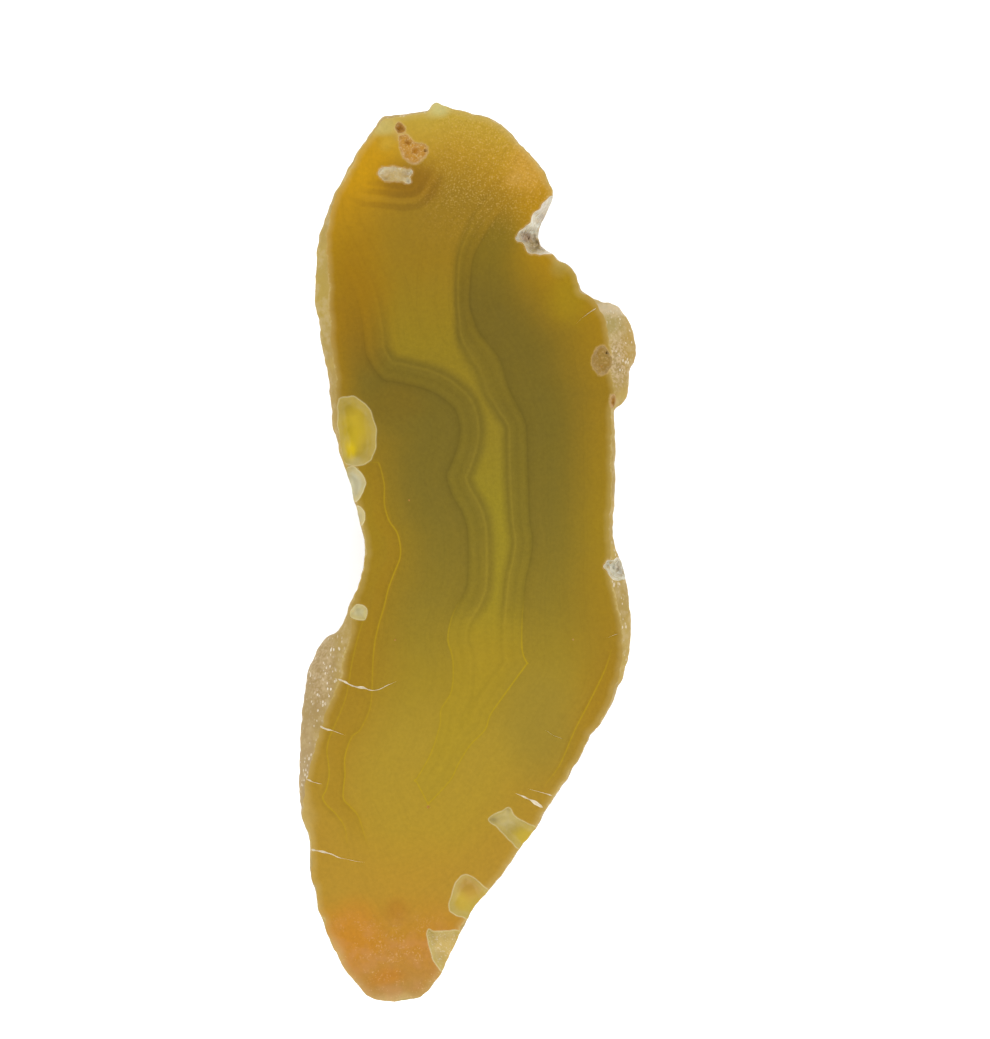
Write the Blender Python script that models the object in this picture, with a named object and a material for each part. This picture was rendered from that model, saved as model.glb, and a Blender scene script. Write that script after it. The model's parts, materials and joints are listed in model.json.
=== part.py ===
"""A natural agate nodule, sawn along its length and lying on its rounded back.

The stone is one piece. The sawn face is flat and looks up. The natural skin shows past the sawn
edge in places, swells to the widest line a little below the face, and curves under to a small
flat spot. Flakes have broken from the sawn edge, and pits open where the banding was hollow.

X runs across the stone, Y along it and Z up. The origin is under the middle of the bounding box,
on the surface that the stone lies on. Run it with blender --background --python part.py.
"""

import math

import bmesh
import bpy
import numpy as np
from mathutils import Vector, noise

MM = 0.001

# Driving dimensions of the whole stone, in metres.
LENGTH = 80.0 * MM
WIDTH = 30.0 * MM
THICKNESS = 13.0 * MM

# The back. It is deepest where it is furthest from the edge, thins towards the stone's ends, and
# is worn flat where it would be deeper than the stone is thick.
BACK_DEPTH = 13.0 * MM
BACK_FULLNESS = 2.1
BACK_CENTRE = Vector((-0.6 * MM, -0.5 * MM))
DEEPEST_DISTANCE = 9.6 * MM
END_THINNING = 0.36

# How far below the sawn face the stone is widest: more where more skin shows.
WIDEST_DROP = 0.35 * MM
WIDEST_DROP_PER_SKIN = 0.85
SHOULDER_ANGLE = math.radians(58)

# Lumps of the natural back.
LUMP_HEIGHT = 2.2 * MM
LUMP_SPACING = 9.0 * MM
KNUCKLE_HEIGHT = 0.8 * MM
KNUCKLE_SPACING = 3.6 * MM
LUMP_FADE = 6.5

# How finely the stone is faceted.
STEPS_PER_POINT = 3
SHOULDER_RINGS = 2
BACK_RINGS = 13
INNERMOST_RING = 0.12
EDGE_STEPS = 8

# The widest line, clockwise from the nib at the top end: x, y, and how much natural skin shows
# outside the sawn edge there, in millimetres.
TOP_END = [
    (-2.8, 40.0, 0.3), (-1.4, 39.4, 0.3), (1.4, 38.8, 0.4), (3.4, 37.7, 0.4),
    (5.4, 35.6, 0.3), (7.0, 33.6, 0.3), (7.6, 31.6, 0.3),
]
SHOULDER = [
    (7.8, 29.4, 0.3), (7.6, 27.2, 0.3), (8.2, 26.0, 0.3), (9.4, 25.2, 0.3), (10.3, 23.3, 0.3),
]
KNOB = [
    (11.4, 22.5, 0.4), (13.4, 21.9, 1.9), (14.7, 19.9, 2.4), (15.0, 17.8, 2.3),
    (14.4, 15.6, 1.7), (14.1, 13.8, 1.2), (13.1, 12.4, 0.5),
]
RIGHT_SIDE = [
    (13.2, 9.0, 0.5), (13.0, 3.0, 0.5), (13.1, 0.4, 0.6), (13.9, -1.6, 1.3), (14.4, -4.2, 1.1),
    (14.5, -7.6, 0.8), (14.0, -10.6, 0.6), (12.7, -13.8, 0.4),
]
LOWER_RIGHT = [
    (10.6, -16.9, 0.3), (7.6, -21.9, 0.3), (5.9, -24.8, 0.3), (4.3, -26.8, 0.3),
    (2.7, -29.2, 0.3), (0.4, -31.9, 0.3), (-1.1, -35.0, 0.3), (-2.7, -38.0, 0.3),
]
TIP = [
    (-4.9, -39.9, 0.3), (-8.1, -39.9, 0.3), (-10.1, -38.3, 0.3), (-12.0, -35.2, 0.3),
    (-13.3, -31.6, 0.3), (-14.0, -28.5, 0.3), (-14.1, -26.0, 0.4),
]
LOWER_BULGE = [
    (-14.9, -23.0, 0.4), (-15.0, -19.0, 1.0), (-14.8, -14.4, 2.1), (-14.2, -10.3, 3.0),
    (-12.8, -8.0, 2.4), (-11.4, -6.8, 1.2), (-10.3, -4.4, 0.4),
]
WAIST = [
    (-9.4, -1.6, 0.3), (-9.2, 0.6, 0.3), (-10.1, 4.4, 0.4), (-10.9, 7.3, 0.5),
]
LEFT_SIDE = [
    (-12.0, 11.3, 0.6), (-12.4, 15.2, 0.7), (-13.2, 19.5, 1.0), (-13.6, 23.5, 1.2),
    (-13.3, 27.2, 0.9), (-12.4, 30.6, 0.5), (-10.5, 34.3, 0.4), (-8.7, 37.2, 0.4),
    (-7.4, 38.7, 0.5), (-5.0, 39.1, 0.4), (-3.6, 39.3, 0.4),
]
WIDEST_LINE = (
    TOP_END + SHOULDER + KNOB + RIGHT_SIDE + LOWER_RIGHT + TIP + LOWER_BULGE + WAIST + LEFT_SIDE
)

# Hollows in the sawn face: the deepest spot, the depth there, and the rim as seen from above, all
# in millimetres. A rim that runs past the stone's edge breaks the edge away.
HOLLOWS = {
    "left_chip": (
        (-12.2, 10.6), 1.9,
        [(-12.6, 13.8), (-9.9, 13.7), (-8.5, 12.2), (-8.0, 10.2), (-8.6, 8.1), (-10.6, 7.6),
         (-13.5, 8.0)],
    ),
    "left_chip_tail": (
        (-11.0, 6.2), 1.6,
        [(-11.0, 7.7), (-9.7, 7.4), (-8.9, 6.2), (-9.6, 5.0), (-11.2, 4.6), (-12.0, 6.5)],
    ),
    "waist_nick": (
        (-10.2, 3.2), 0.9,
        [(-10.6, 4.2), (-9.4, 4.0), (-9.2, 3.0), (-9.9, 2.0), (-10.8, 2.6)],
    ),
    "bulge_chip": (
        (-10.4, -5.2), 1.1,
        [(-10.6, -4.2), (-9.4, -4.6), (-8.8, -5.4), (-9.5, -6.2), (-10.8, -6.2), (-11.4, -5.2)],
    ),
    "lower_chip": (
        (5.4, -25.4), 2.0,
        [(1.9, -23.9), (3.4, -22.7), (4.1, -23.6), (5.9, -24.2), (7.0, -26.0), (5.2, -27.0),
         (4.0, -25.8)],
    ),
    "tip_chip": (
        (0.6, -31.4), 1.7,
        [(-1.8, -31.7), (-1.3, -29.4), (0.1, -28.6), (1.5, -29.8), (1.8, -31.5), (0.0, -33.2)],
    ),
    "tip_end_chip": (
        (-1.2, -35.8), 1.8,
        [(-3.8, -33.2), (-2.9, -33.8), (-0.8, -33.7), (0.4, -35.6), (-1.6, -38.0), (-2.6, -37.2),
         (-3.6, -35.6)],
    ),
    "side_break": (
        (13.8, -1.2), 1.4,
        [(11.9, -0.4), (12.2, -2.2), (12.8, -3.0), (14.0, -3.0), (15.0, -1.4), (14.2, 0.2),
         (12.8, 0.6)],
    ),
    "shoulder_break": (
        (8.6, 29.0), 10.5,
        [(3.9, 27.9), (5.2, 29.3), (6.3, 31.0), (7.6, 32.2), (10.5, 31.5), (9.8, 27.4),
         (8.0, 26.4), (5.8, 26.9)],
    ),
    "knob_hollow": (
        (12.2, 17.2), 1.2,
        [(10.8, 17.6), (11.4, 18.7), (12.6, 19.0), (13.4, 18.0), (13.2, 16.4), (12.2, 15.3),
         (11.0, 16.0)],
    ),
    "knob_pit": (
        (12.9, 13.1), 0.9,
        [(12.4, 13.9), (13.0, 14.0), (13.4, 13.2), (13.0, 12.4), (12.5, 12.6)],
    ),
    "top_pit": (
        (-6.1, 37.7), 1.1,
        [(-6.8, 38.0), (-6.0, 38.4), (-5.4, 37.9), (-5.6, 37.1), (-6.4, 37.0)],
    ),
    "ring_pit": (
        (-4.9, 35.7), 1.3,
        [(-6.0, 36.6), (-5.4, 37.0), (-4.4, 36.4), (-3.5, 36.0), (-3.6, 35.3), (-4.6, 34.5),
         (-5.7, 34.8)],
    ),
    "grain_pit": (
        (-6.4, 33.7), 0.7,
        [(-8.0, 34.0), (-7.2, 34.6), (-5.0, 34.3), (-4.8, 33.2), (-5.6, 32.9), (-7.4, 33.1)],
    ),
}
HOLLOW_RINGS = 3
RIM_STEPS = 2
CUTTER_LIFT = 0.5 * MM


def clear_scene():
    """Start from an empty scene."""
    for existing in list(bpy.data.objects):
        bpy.data.objects.remove(existing)


def closed_curve(points, steps):
    """A smooth closed curve through the points, with this many vertices for each point."""
    curve = []
    count = len(points)
    for i in range(count):
        before, start, end, after = (Vector(points[(i + k) % count]) for k in (-1, 0, 1, 2))
        for step in range(steps):
            t = step / steps
            bend = 2 * before - 5 * start + 4 * end - after
            swing = 3 * start - before - 3 * end + after
            curve.append(start + 0.5 * t * ((end - before) + t * (bend + t * swing)))
    return curve


def fitted_to_size(curve):
    """The curve in metres, with its bounding box WIDTH by LENGTH about the origin."""
    spans = []
    for axis, size in ((0, WIDTH), (1, LENGTH)):
        low = min(point[axis] for point in curve)
        high = max(point[axis] for point in curve)
        spans.append(((low + high) / 2, size / (high - low)))
    (mid_x, scale_x), (mid_y, scale_y) = spans
    return [
        Vector(((p.x - mid_x) * scale_x, (p.y - mid_y) * scale_y, p.z * MM)) for p in curve
    ]


def inwards_at(curve, i):
    """The direction square to the curve at a point, towards the inside."""
    along = curve[(i + 1) % len(curve)] - curve[i - 1]
    return Vector((along.y, -along.x)).normalized()


def inset(curve):
    """The sawn edge: each point of the widest line moved inwards by the skin that shows there."""
    return [point.xy + inwards_at(curve, i) * point.z for i, point in enumerate(curve)]


def distance_inside(points, curve):
    """A smooth distance from each point to the curve round it.

    A pull of the inverse cube is added up along every piece of the curve, and its strength gives
    the distance, exact beside a straight edge and without a crease along the middle.
    """
    start = np.array([p.xy for p in curve])
    along = np.roll(start, -1, axis=0) - start
    length = np.linalg.norm(along, axis=1)
    along /= length[:, None]
    reach = points[:, None, :] - start[None, :, :]
    before = -(reach * along).sum(axis=2)
    after = before + length
    square = np.maximum((reach**2).sum(axis=2) - before**2, 1e-14)
    pull = (after / np.sqrt(square + after**2) - before / np.sqrt(square + before**2)) / square
    return np.sqrt(2 / pull.sum(axis=1))


def shoulder_rings(widest, edge, heights):
    """Rings from the sawn edge, outwards and down to the widest line."""
    rings = []
    for k in range(SHOULDER_RINGS):
        angle = SHOULDER_ANGLE * (1 - k / SHOULDER_RINGS)
        inwards = (1 - math.cos(angle)) / (1 - math.cos(SHOULDER_ANGLE))
        up = math.sin(angle) / math.sin(SHOULDER_ANGLE)
        ring = []
        for outer, inner, height in zip(widest, edge, heights):
            x, y = outer.xy.lerp(inner, inwards)
            ring.append(Vector((x, y, height + (THICKNESS - height) * up)))
        rings.append(ring)
    return rings


def back_height(plan, start, widest):
    """Height of the back under points of the plan, with the widest line at the start heights."""
    share = np.minimum(distance_inside(plan, widest) / DEEPEST_DISTANCE, 1.0)
    bowl = (1 - (1 - share) ** BACK_FULLNESS) ** (1 / BACK_FULLNESS)
    along = (plan[:, 1] - BACK_CENTRE.y) / (LENGTH / 2)
    depth = BACK_DEPTH * bowl * (1 - END_THINNING * along**2)
    middle = THICKNESS - WIDEST_DROP
    return np.maximum(start + (middle - start) * share - depth, 0.0)


def back_rings(columns, heights, widest):
    """Rings from the widest line, inwards and down to the flat spot."""
    plan = np.array([p.xy for p in columns])
    centre = np.array(BACK_CENTRE)
    rings = []
    for k in range(BACK_RINGS + 1):
        reach = math.cos(math.pi / 2 * k / BACK_RINGS)
        share = INNERMOST_RING + (1 - INNERMOST_RING) * reach
        place = centre + (plan - centre) * share
        level = back_height(place, heights, widest) if k else heights
        rings.append([Vector((x, y, z)) for (x, y), z in zip(place, level)])
    return rings


def lump(point):
    """How far the natural skin stands out at a point of the back."""
    broad = noise.noise(point / LUMP_SPACING)
    small = noise.noise(point / KNUCKLE_SPACING)
    return LUMP_HEIGHT * broad + KNUCKLE_HEIGHT * small


def raise_lumps(mesh, loops):
    """Push the vertices of the back out or in along their normals, most at a third of its height."""
    mesh.normal_update()
    moves = []
    for column in zip(*loops):
        for vertex in column:
            rise = vertex.co.z / column[0].co.z
            fade = LUMP_FADE * rise * (1 - rise) ** 2
            moves.append((vertex, vertex.normal * lump(vertex.co) * fade))
    for vertex, move in moves:
        vertex.co += move
        vertex.co.z = max(vertex.co.z, 0.0)


def stone_mesh():
    """The whole stone before its hollows are cut."""
    columns = fitted_to_size(closed_curve(WIDEST_LINE, STEPS_PER_POINT))
    widest = fitted_to_size(closed_curve(WIDEST_LINE, EDGE_STEPS))
    heights = np.array([THICKNESS - WIDEST_DROP - WIDEST_DROP_PER_SKIN * p.z for p in columns])
    rings = shoulder_rings(columns, inset(columns), heights)
    back = back_rings(columns, heights, widest)

    mesh = bmesh.new()
    loops = [[mesh.verts.new(p) for p in ring] for ring in rings + back]
    count = len(columns)
    for upper, lower in zip(loops, loops[1:]):
        for i in range(count):
            j = (i + 1) % count
            mesh.faces.new((upper[i], upper[j], lower[j], lower[i]))
    mesh.faces.new(loops[0])
    mesh.faces.new(loops[-1])
    bmesh.ops.recalc_face_normals(mesh, faces=mesh.faces)
    raise_lumps(mesh, loops[len(rings):])
    return mesh


def hollow_mesh(deepest, depth, rim):
    """A solid with a bowl-shaped underside, to cut one hollow with."""
    outline = closed_curve(rim, RIM_STEPS)
    centre = Vector(deepest)
    levels = [(1.0, THICKNESS + CUTTER_LIFT)]
    for k in range(HOLLOW_RINGS):
        share = 1 - k / HOLLOW_RINGS
        levels.append((share, THICKNESS - depth * MM * (1 - share * share)))
    mesh = bmesh.new()
    loops = []
    for share, height in levels:
        plan = [centre + (p - centre) * share for p in outline]
        loops.append([mesh.verts.new((p.x * MM, p.y * MM, height)) for p in plan])
    bottom = mesh.verts.new((centre.x * MM, centre.y * MM, THICKNESS - depth * MM))
    count = len(outline)
    for upper, lower in zip(loops, loops[1:]):
        for i in range(count):
            j = (i + 1) % count
            mesh.faces.new((upper[i], upper[j], lower[j], lower[i]))
    for i in range(count):
        mesh.faces.new((loops[-1][i], loops[-1][(i + 1) % count], bottom))
    mesh.faces.new(loops[0])
    bmesh.ops.recalc_face_normals(mesh, faces=mesh.faces)
    return mesh


def object_from(mesh, name):
    """Link a finished mesh to the scene as an object."""
    data = bpy.data.meshes.new(name)
    mesh.to_mesh(data)
    mesh.free()
    made = bpy.data.objects.new(name, data)
    bpy.context.scene.collection.objects.link(made)
    return made


def agate_material():
    """Amber chalcedony, matt where it was sawn."""
    material = bpy.data.materials.new("agate")
    material.use_nodes = True
    shader = material.node_tree.nodes["Principled BSDF"]
    shader.inputs["Base Color"].default_value = (0.42, 0.27, 0.035, 1)
    shader.inputs["Roughness"].default_value = 0.45
    shader.inputs["Metallic"].default_value = 0.0
    return material


def cut_hollows(stone):
    """Take each hollow out of the stone."""
    for name, shape in HOLLOWS.items():
        cutter = object_from(hollow_mesh(*shape), "cutter_" + name)
        cutter.hide_render = True
        cutter.display_type = "WIRE"
        cut = stone.modifiers.new(name, "BOOLEAN")
        cut.operation = "DIFFERENCE"
        cut.solver = "EXACT"
        cut.object = cutter


def main():
    clear_scene()
    stone = object_from(stone_mesh(), "agate_nodule")
    stone.data.materials.append(agate_material())
    stone.data.shade_smooth()
    stone.data.set_sharp_from_angle(angle=math.radians(35))
    cut_hollows(stone)


main()
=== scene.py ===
"""A natural agate nodule, sawn along its length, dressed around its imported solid.

The stone is one piece. Its mesh repeats the solid's own outline, back and hollows with many more
points, and adds what a solid leaves out: nicks along the sawn edge, knobbly skin, rippled flakes,
quartz grains in the pits and fine cracks. Distances from the bands, veins and edges are worked out
for every point and stored with the mesh, and the materials draw the banding from them.

X runs across the stone, Y along it and Z up, in metres. The file is laid out as an add-on and is
run as a script.
"""

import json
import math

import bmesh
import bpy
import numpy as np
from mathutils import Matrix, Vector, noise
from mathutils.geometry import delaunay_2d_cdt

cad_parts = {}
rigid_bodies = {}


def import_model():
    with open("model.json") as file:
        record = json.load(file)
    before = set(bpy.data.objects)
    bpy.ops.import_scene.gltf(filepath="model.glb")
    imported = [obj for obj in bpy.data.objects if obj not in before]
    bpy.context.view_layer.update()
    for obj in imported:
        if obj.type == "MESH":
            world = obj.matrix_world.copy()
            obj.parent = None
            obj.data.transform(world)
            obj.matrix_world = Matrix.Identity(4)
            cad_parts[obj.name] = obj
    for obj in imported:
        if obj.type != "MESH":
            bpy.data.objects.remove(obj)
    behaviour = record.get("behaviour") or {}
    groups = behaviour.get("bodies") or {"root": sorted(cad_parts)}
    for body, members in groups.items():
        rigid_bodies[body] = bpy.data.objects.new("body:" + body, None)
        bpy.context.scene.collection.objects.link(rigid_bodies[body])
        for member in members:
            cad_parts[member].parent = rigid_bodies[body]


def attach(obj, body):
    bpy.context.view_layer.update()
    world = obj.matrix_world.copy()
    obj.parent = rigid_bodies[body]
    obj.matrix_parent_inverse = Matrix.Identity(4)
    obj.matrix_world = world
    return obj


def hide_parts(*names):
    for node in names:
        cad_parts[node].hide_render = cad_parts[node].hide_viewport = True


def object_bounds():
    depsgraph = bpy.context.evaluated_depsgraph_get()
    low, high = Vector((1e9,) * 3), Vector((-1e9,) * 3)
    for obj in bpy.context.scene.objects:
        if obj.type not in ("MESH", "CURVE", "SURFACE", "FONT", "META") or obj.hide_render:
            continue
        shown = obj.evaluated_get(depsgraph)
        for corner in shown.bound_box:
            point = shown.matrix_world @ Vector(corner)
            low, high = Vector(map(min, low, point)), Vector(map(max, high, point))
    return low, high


bl_info = {
    "name": "Sawn agate nodule",
    "version": (1, 0, 0),
    "blender": (4, 5, 0),
    "location": "3D View > Sidebar > Agate",
    "description": "A banded agate nodule with a sawn face, natural skin and broken edges",
    "category": "Add Mesh",
}

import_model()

CAD_LOW, CAD_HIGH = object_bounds()
CAD_SIZE = CAD_HIGH - CAD_LOW
MM = 0.001

# Height of the sawn face, in millimetres.
FACE_LEVEL = CAD_HIGH.z / MM

# The widest line, clockwise from the nib at the top end: x, y, and how much natural skin shows
# outside the sawn edge there, in millimetres.
TOP_END = [
    (-2.8, 40.0, 0.3), (-1.4, 39.4, 0.3), (1.4, 38.8, 0.4), (3.4, 37.7, 0.4),
    (5.4, 35.6, 0.3), (7.0, 33.6, 0.3), (7.6, 31.6, 0.3),
]
SHOULDER = [
    (7.1, 29.7, 0.3), (6.7, 28.4, 0.3), (7.0, 27.2, 0.3), (8.1, 26.0, 0.3), (9.4, 25.2, 0.3),
    (10.3, 23.3, 0.3),
]
KNOB = [
    (11.4, 22.5, 0.4), (13.4, 21.9, 1.9), (14.7, 19.9, 2.4), (15.0, 17.8, 2.3),
    (14.4, 15.6, 1.7), (14.25, 14.3, 1.3), (13.75, 13.2, 0.9), (13.1, 12.4, 0.5),
]
RIGHT_SIDE = [
    (13.2, 9.0, 0.5), (13.0, 3.0, 0.5), (13.1, 0.4, 0.6), (13.9, -1.6, 1.3), (14.4, -4.2, 1.1),
    (14.5, -7.6, 0.8), (14.0, -10.6, 0.6), (12.7, -13.8, 0.4),
]
LOWER_RIGHT = [
    (10.8, -16.8, 0.3), (9.3, -19.4, 0.3), (7.6, -21.9, 0.3), (5.9, -24.8, 0.3), (4.3, -26.8, 0.3),
    (2.7, -29.2, 0.3), (0.4, -31.9, 0.3), (-1.1, -35.0, 0.3), (-2.7, -38.0, 0.3),
]
TIP = [
    (-4.6, -39.8, 0.3), (-8.4, -39.8, 0.3), (-10.1, -38.3, 0.3), (-12.0, -35.2, 0.3),
    (-13.3, -31.6, 0.3), (-14.0, -28.5, 0.3), (-14.1, -26.0, 0.4),
]
LOWER_BULGE = [
    (-14.9, -23.0, 0.4), (-15.0, -19.0, 1.0), (-14.8, -14.4, 2.1), (-14.2, -10.3, 3.0),
    (-12.8, -8.0, 2.4), (-11.4, -6.8, 1.2), (-10.3, -4.4, 0.4),
]
WAIST = [
    (-9.4, -1.6, 0.3), (-9.2, 0.6, 0.3), (-10.1, 4.4, 0.4), (-10.9, 7.3, 0.5),
]
LEFT_SIDE = [
    (-12.0, 11.3, 0.6), (-12.4, 15.2, 0.7), (-13.2, 19.5, 1.0), (-13.6, 23.5, 1.2),
    (-13.3, 27.2, 0.9), (-12.4, 30.6, 0.5), (-10.5, 34.3, 0.4), (-8.7, 37.2, 0.4),
    (-7.4, 38.7, 0.5), (-5.0, 39.1, 0.4), (-3.6, 39.3, 0.4),
]
WIDEST_LINE = (
    TOP_END + SHOULDER + KNOB + RIGHT_SIDE + LOWER_RIGHT + TIP + LOWER_BULGE + WAIST + LEFT_SIDE
)

# Hollows in the sawn face: what the break looks like, the deepest spot, the depth there, and the
# corners of the rim as seen from above, in millimetres. A rim that runs past the edge breaks the
# edge away.
HOLLOWS = {
    "left_chip": (
        "flake", (-10.3, 9.6), 0.9,
        [(-11.5, 13.7), (-9.95, 13.85), (-9.05, 13.15), (-8.5, 12.3), (-8.05, 10.65), (-8.2, 9.3),
         (-8.5, 8.2), (-9.1, 7.8), (-10.2, 7.6), (-11.0, 7.9), (-11.4, 9.6), (-11.6, 11.5)],
    ),
    "left_chip_tail": (
        "flake", (-10.8, 6.0), 0.9,
        [(-11.2, 7.5), (-10.1, 7.7), (-9.4, 7.0), (-9.0, 6.2), (-9.15, 5.6), (-9.6, 4.8),
         (-10.2, 4.2), (-11.4, 4.6), (-11.9, 6.4)],
    ),
    "waist_nick": (
        "flake", (-10.0, 3.2), 0.8,
        [(-10.6, 4.3), (-9.5, 4.1), (-9.15, 3.5), (-9.1, 2.8), (-9.5, 2.2), (-10.6, 2.2)],
    ),
    "bulge_chip": (
        "flake", (-9.7, -5.4), 0.6,
        [(-10.6, -5.4), (-9.9, -4.6), (-9.3, -4.7), (-8.9, -5.1), (-8.9, -5.6), (-9.1, -6.1),
         (-9.7, -6.0), (-10.4, -5.9)],
    ),
    "lower_chip": (
        "flake", (5.0, -25.3), 0.8,
        [(1.8, -23.75), (2.5, -23.2), (3.3, -22.85), (3.7, -22.7), (4.05, -23.35), (5.0, -23.9),
         (5.9, -24.4), (7.2, -25.2), (6.0, -27.6), (4.3, -26.3), (3.5, -25.4), (2.5, -24.4)],
    ),
    "tip_chip": (
        "flake", (0.5, -31.0), 0.7,
        [(-0.1, -28.65), (0.7, -28.95), (1.4, -29.7), (2.6, -30.4), (0.9, -33.4), (-0.1, -32.6),
         (-1.05, -32.35), (-1.7, -31.95), (-1.65, -31.3), (-1.4, -30.3), (-1.05, -29.3),
         (-0.65, -28.8)],
    ),
    "tip_end_chip": (
        "flake", (-1.6, -35.0), 0.8,
        [(-3.5, -33.35), (-3.1, -33.7), (-0.8, -33.6), (0.6, -34.0), (-1.8, -38.3), (-2.4, -37.2),
         (-3.1, -36.2), (-3.5, -34.9), (-3.65, -34.1)],
    ),
    "side_break": (
        "crystals", (13.7, -1.3), 1.9,
        [(12.1, -1.3), (12.5, -0.7), (13.2, -0.5), (14.6, 0.0), (15.3, -1.2), (14.9, -2.8),
         (13.4, -2.5), (12.5, -2.1)],
    ),
    "shoulder_break": (
        "crystals", (8.6, 29.0), 4.0,
        [(4.2, 27.95), (4.9, 28.55), (5.5, 29.4), (6.1, 30.3), (6.8, 31.1), (7.4, 31.7),
         (10.5, 31.5), (10.4, 27.6), (8.6, 26.8), (7.0, 26.55), (6.2, 26.5), (5.5, 26.65),
         (5.0, 27.4)],
    ),
    "knob_hollow": (
        "pit", (12.0, 17.0), 0.25,
        [(11.1, 17.0), (11.3, 17.9), (12.0, 18.3), (12.7, 17.8), (12.8, 16.8), (12.4, 15.9),
         (11.7, 15.65), (11.2, 16.2)],
    ),
    "knob_pit": (
        "pit", (12.9, 13.3), 0.2,
        [(12.65, 13.9), (13.05, 14.05), (13.25, 13.4), (13.1, 12.7), (12.75, 12.75), (12.6, 13.3)],
    ),
    "top_pit": (
        "pit", (-6.05, 37.65), 0.25,
        [(-6.5, 37.9), (-6.1, 38.2), (-5.6, 38.0), (-5.55, 37.4), (-5.95, 37.1), (-6.45, 37.3)],
    ),
    "ring_pit": (
        "pit", (-5.0, 35.8), 0.22,
        [(-6.2, 37.05), (-5.5, 37.2), (-4.85, 36.5), (-3.8, 36.2), (-3.55, 35.6), (-4.0, 35.1),
         (-4.2, 34.7), (-5.1, 34.6), (-5.7, 35.1), (-6.05, 36.0)],
    ),
    "grain_pit": (
        "crystals", (-6.3, 33.55), 0.35,
        [(-7.85, 33.65), (-7.7, 34.05), (-7.1, 34.15), (-6.0, 34.05), (-5.05, 34.15),
         (-4.95, 33.65), (-5.2, 33.4), (-5.0, 32.8), (-5.5, 32.75), (-5.8, 33.1), (-7.4, 33.0),
         (-7.8, 33.25)],
    ),
}

# Cracks in the sawn face: the way each one runs from its wide end, its width there and its depth,
# in millimetres.
CRACKS = {
    "bulge_crack": (
        [(-11.6, -11.3), (-10.9, -11.6), (-10.2, -11.9), (-9.4, -12.05), (-8.6, -12.25),
         (-7.6, -12.1), (-6.9, -11.75), (-6.2, -11.4)], 0.34, 0.1,
    ),
    "upper_side_crack": (
        [(-13.2, -15.4), (-12.5, -15.75), (-11.7, -16.0), (-10.8, -16.4)], 0.24, 0.08,
    ),
    "side_crack": ([(-14.4, -20.2), (-13.6, -20.45), (-12.9, -20.6)], 0.22, 0.07),
    "tip_crack": (
        [(-14.0, -26.4), (-13.5, -26.5), (-12.7, -26.65), (-11.8, -27.0), (-10.8, -27.3),
         (-9.1, -27.6)], 0.3, 0.09,
    ),
    "rim_crack": ([(13.4, -7.3), (12.4, -7.6)], 0.1, 0.05),
    "knob_crack": ([(11.4, 21.7), (10.7, 21.2), (9.6, 20.2)], 0.12, 0.05),
    "right_crack": ([(8.4, -16.7), (6.9, -15.8)], 0.09, 0.05),
    "long_sliver": ([(6.65, -22.75), (5.85, -22.15), (5.05, -21.75), (4.25, -21.4)], 0.5, 0.12),
    "short_sliver": ([(7.5, -21.65), (6.65, -21.35), (5.3, -21.0)], 0.26, 0.08),
}

# Pinholes in the sawn face and the knob: centre, radius and depth, in millimetres.
PINHOLES = [
    ((-5.2, 4.6), 0.08, 0.05), ((-6.45, -7.8), 0.1, 0.05), ((-3.5, -22.65), 0.12, 0.05),
    ((9.4, -7.8), 0.1, 0.04), ((-6.1, 37.6), 0.3, 0.4), ((-5.33, 36.44), 0.36, 0.42),
    ((-4.65, 35.7), 0.5, 0.42), ((-3.75, 35.68), 0.18, 0.26), ((12.35, 17.7), 0.18, 0.32),
    ((11.93, 16.5), 0.36, 0.3), ((12.96, 13.25), 0.14, 0.34),
]

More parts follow.
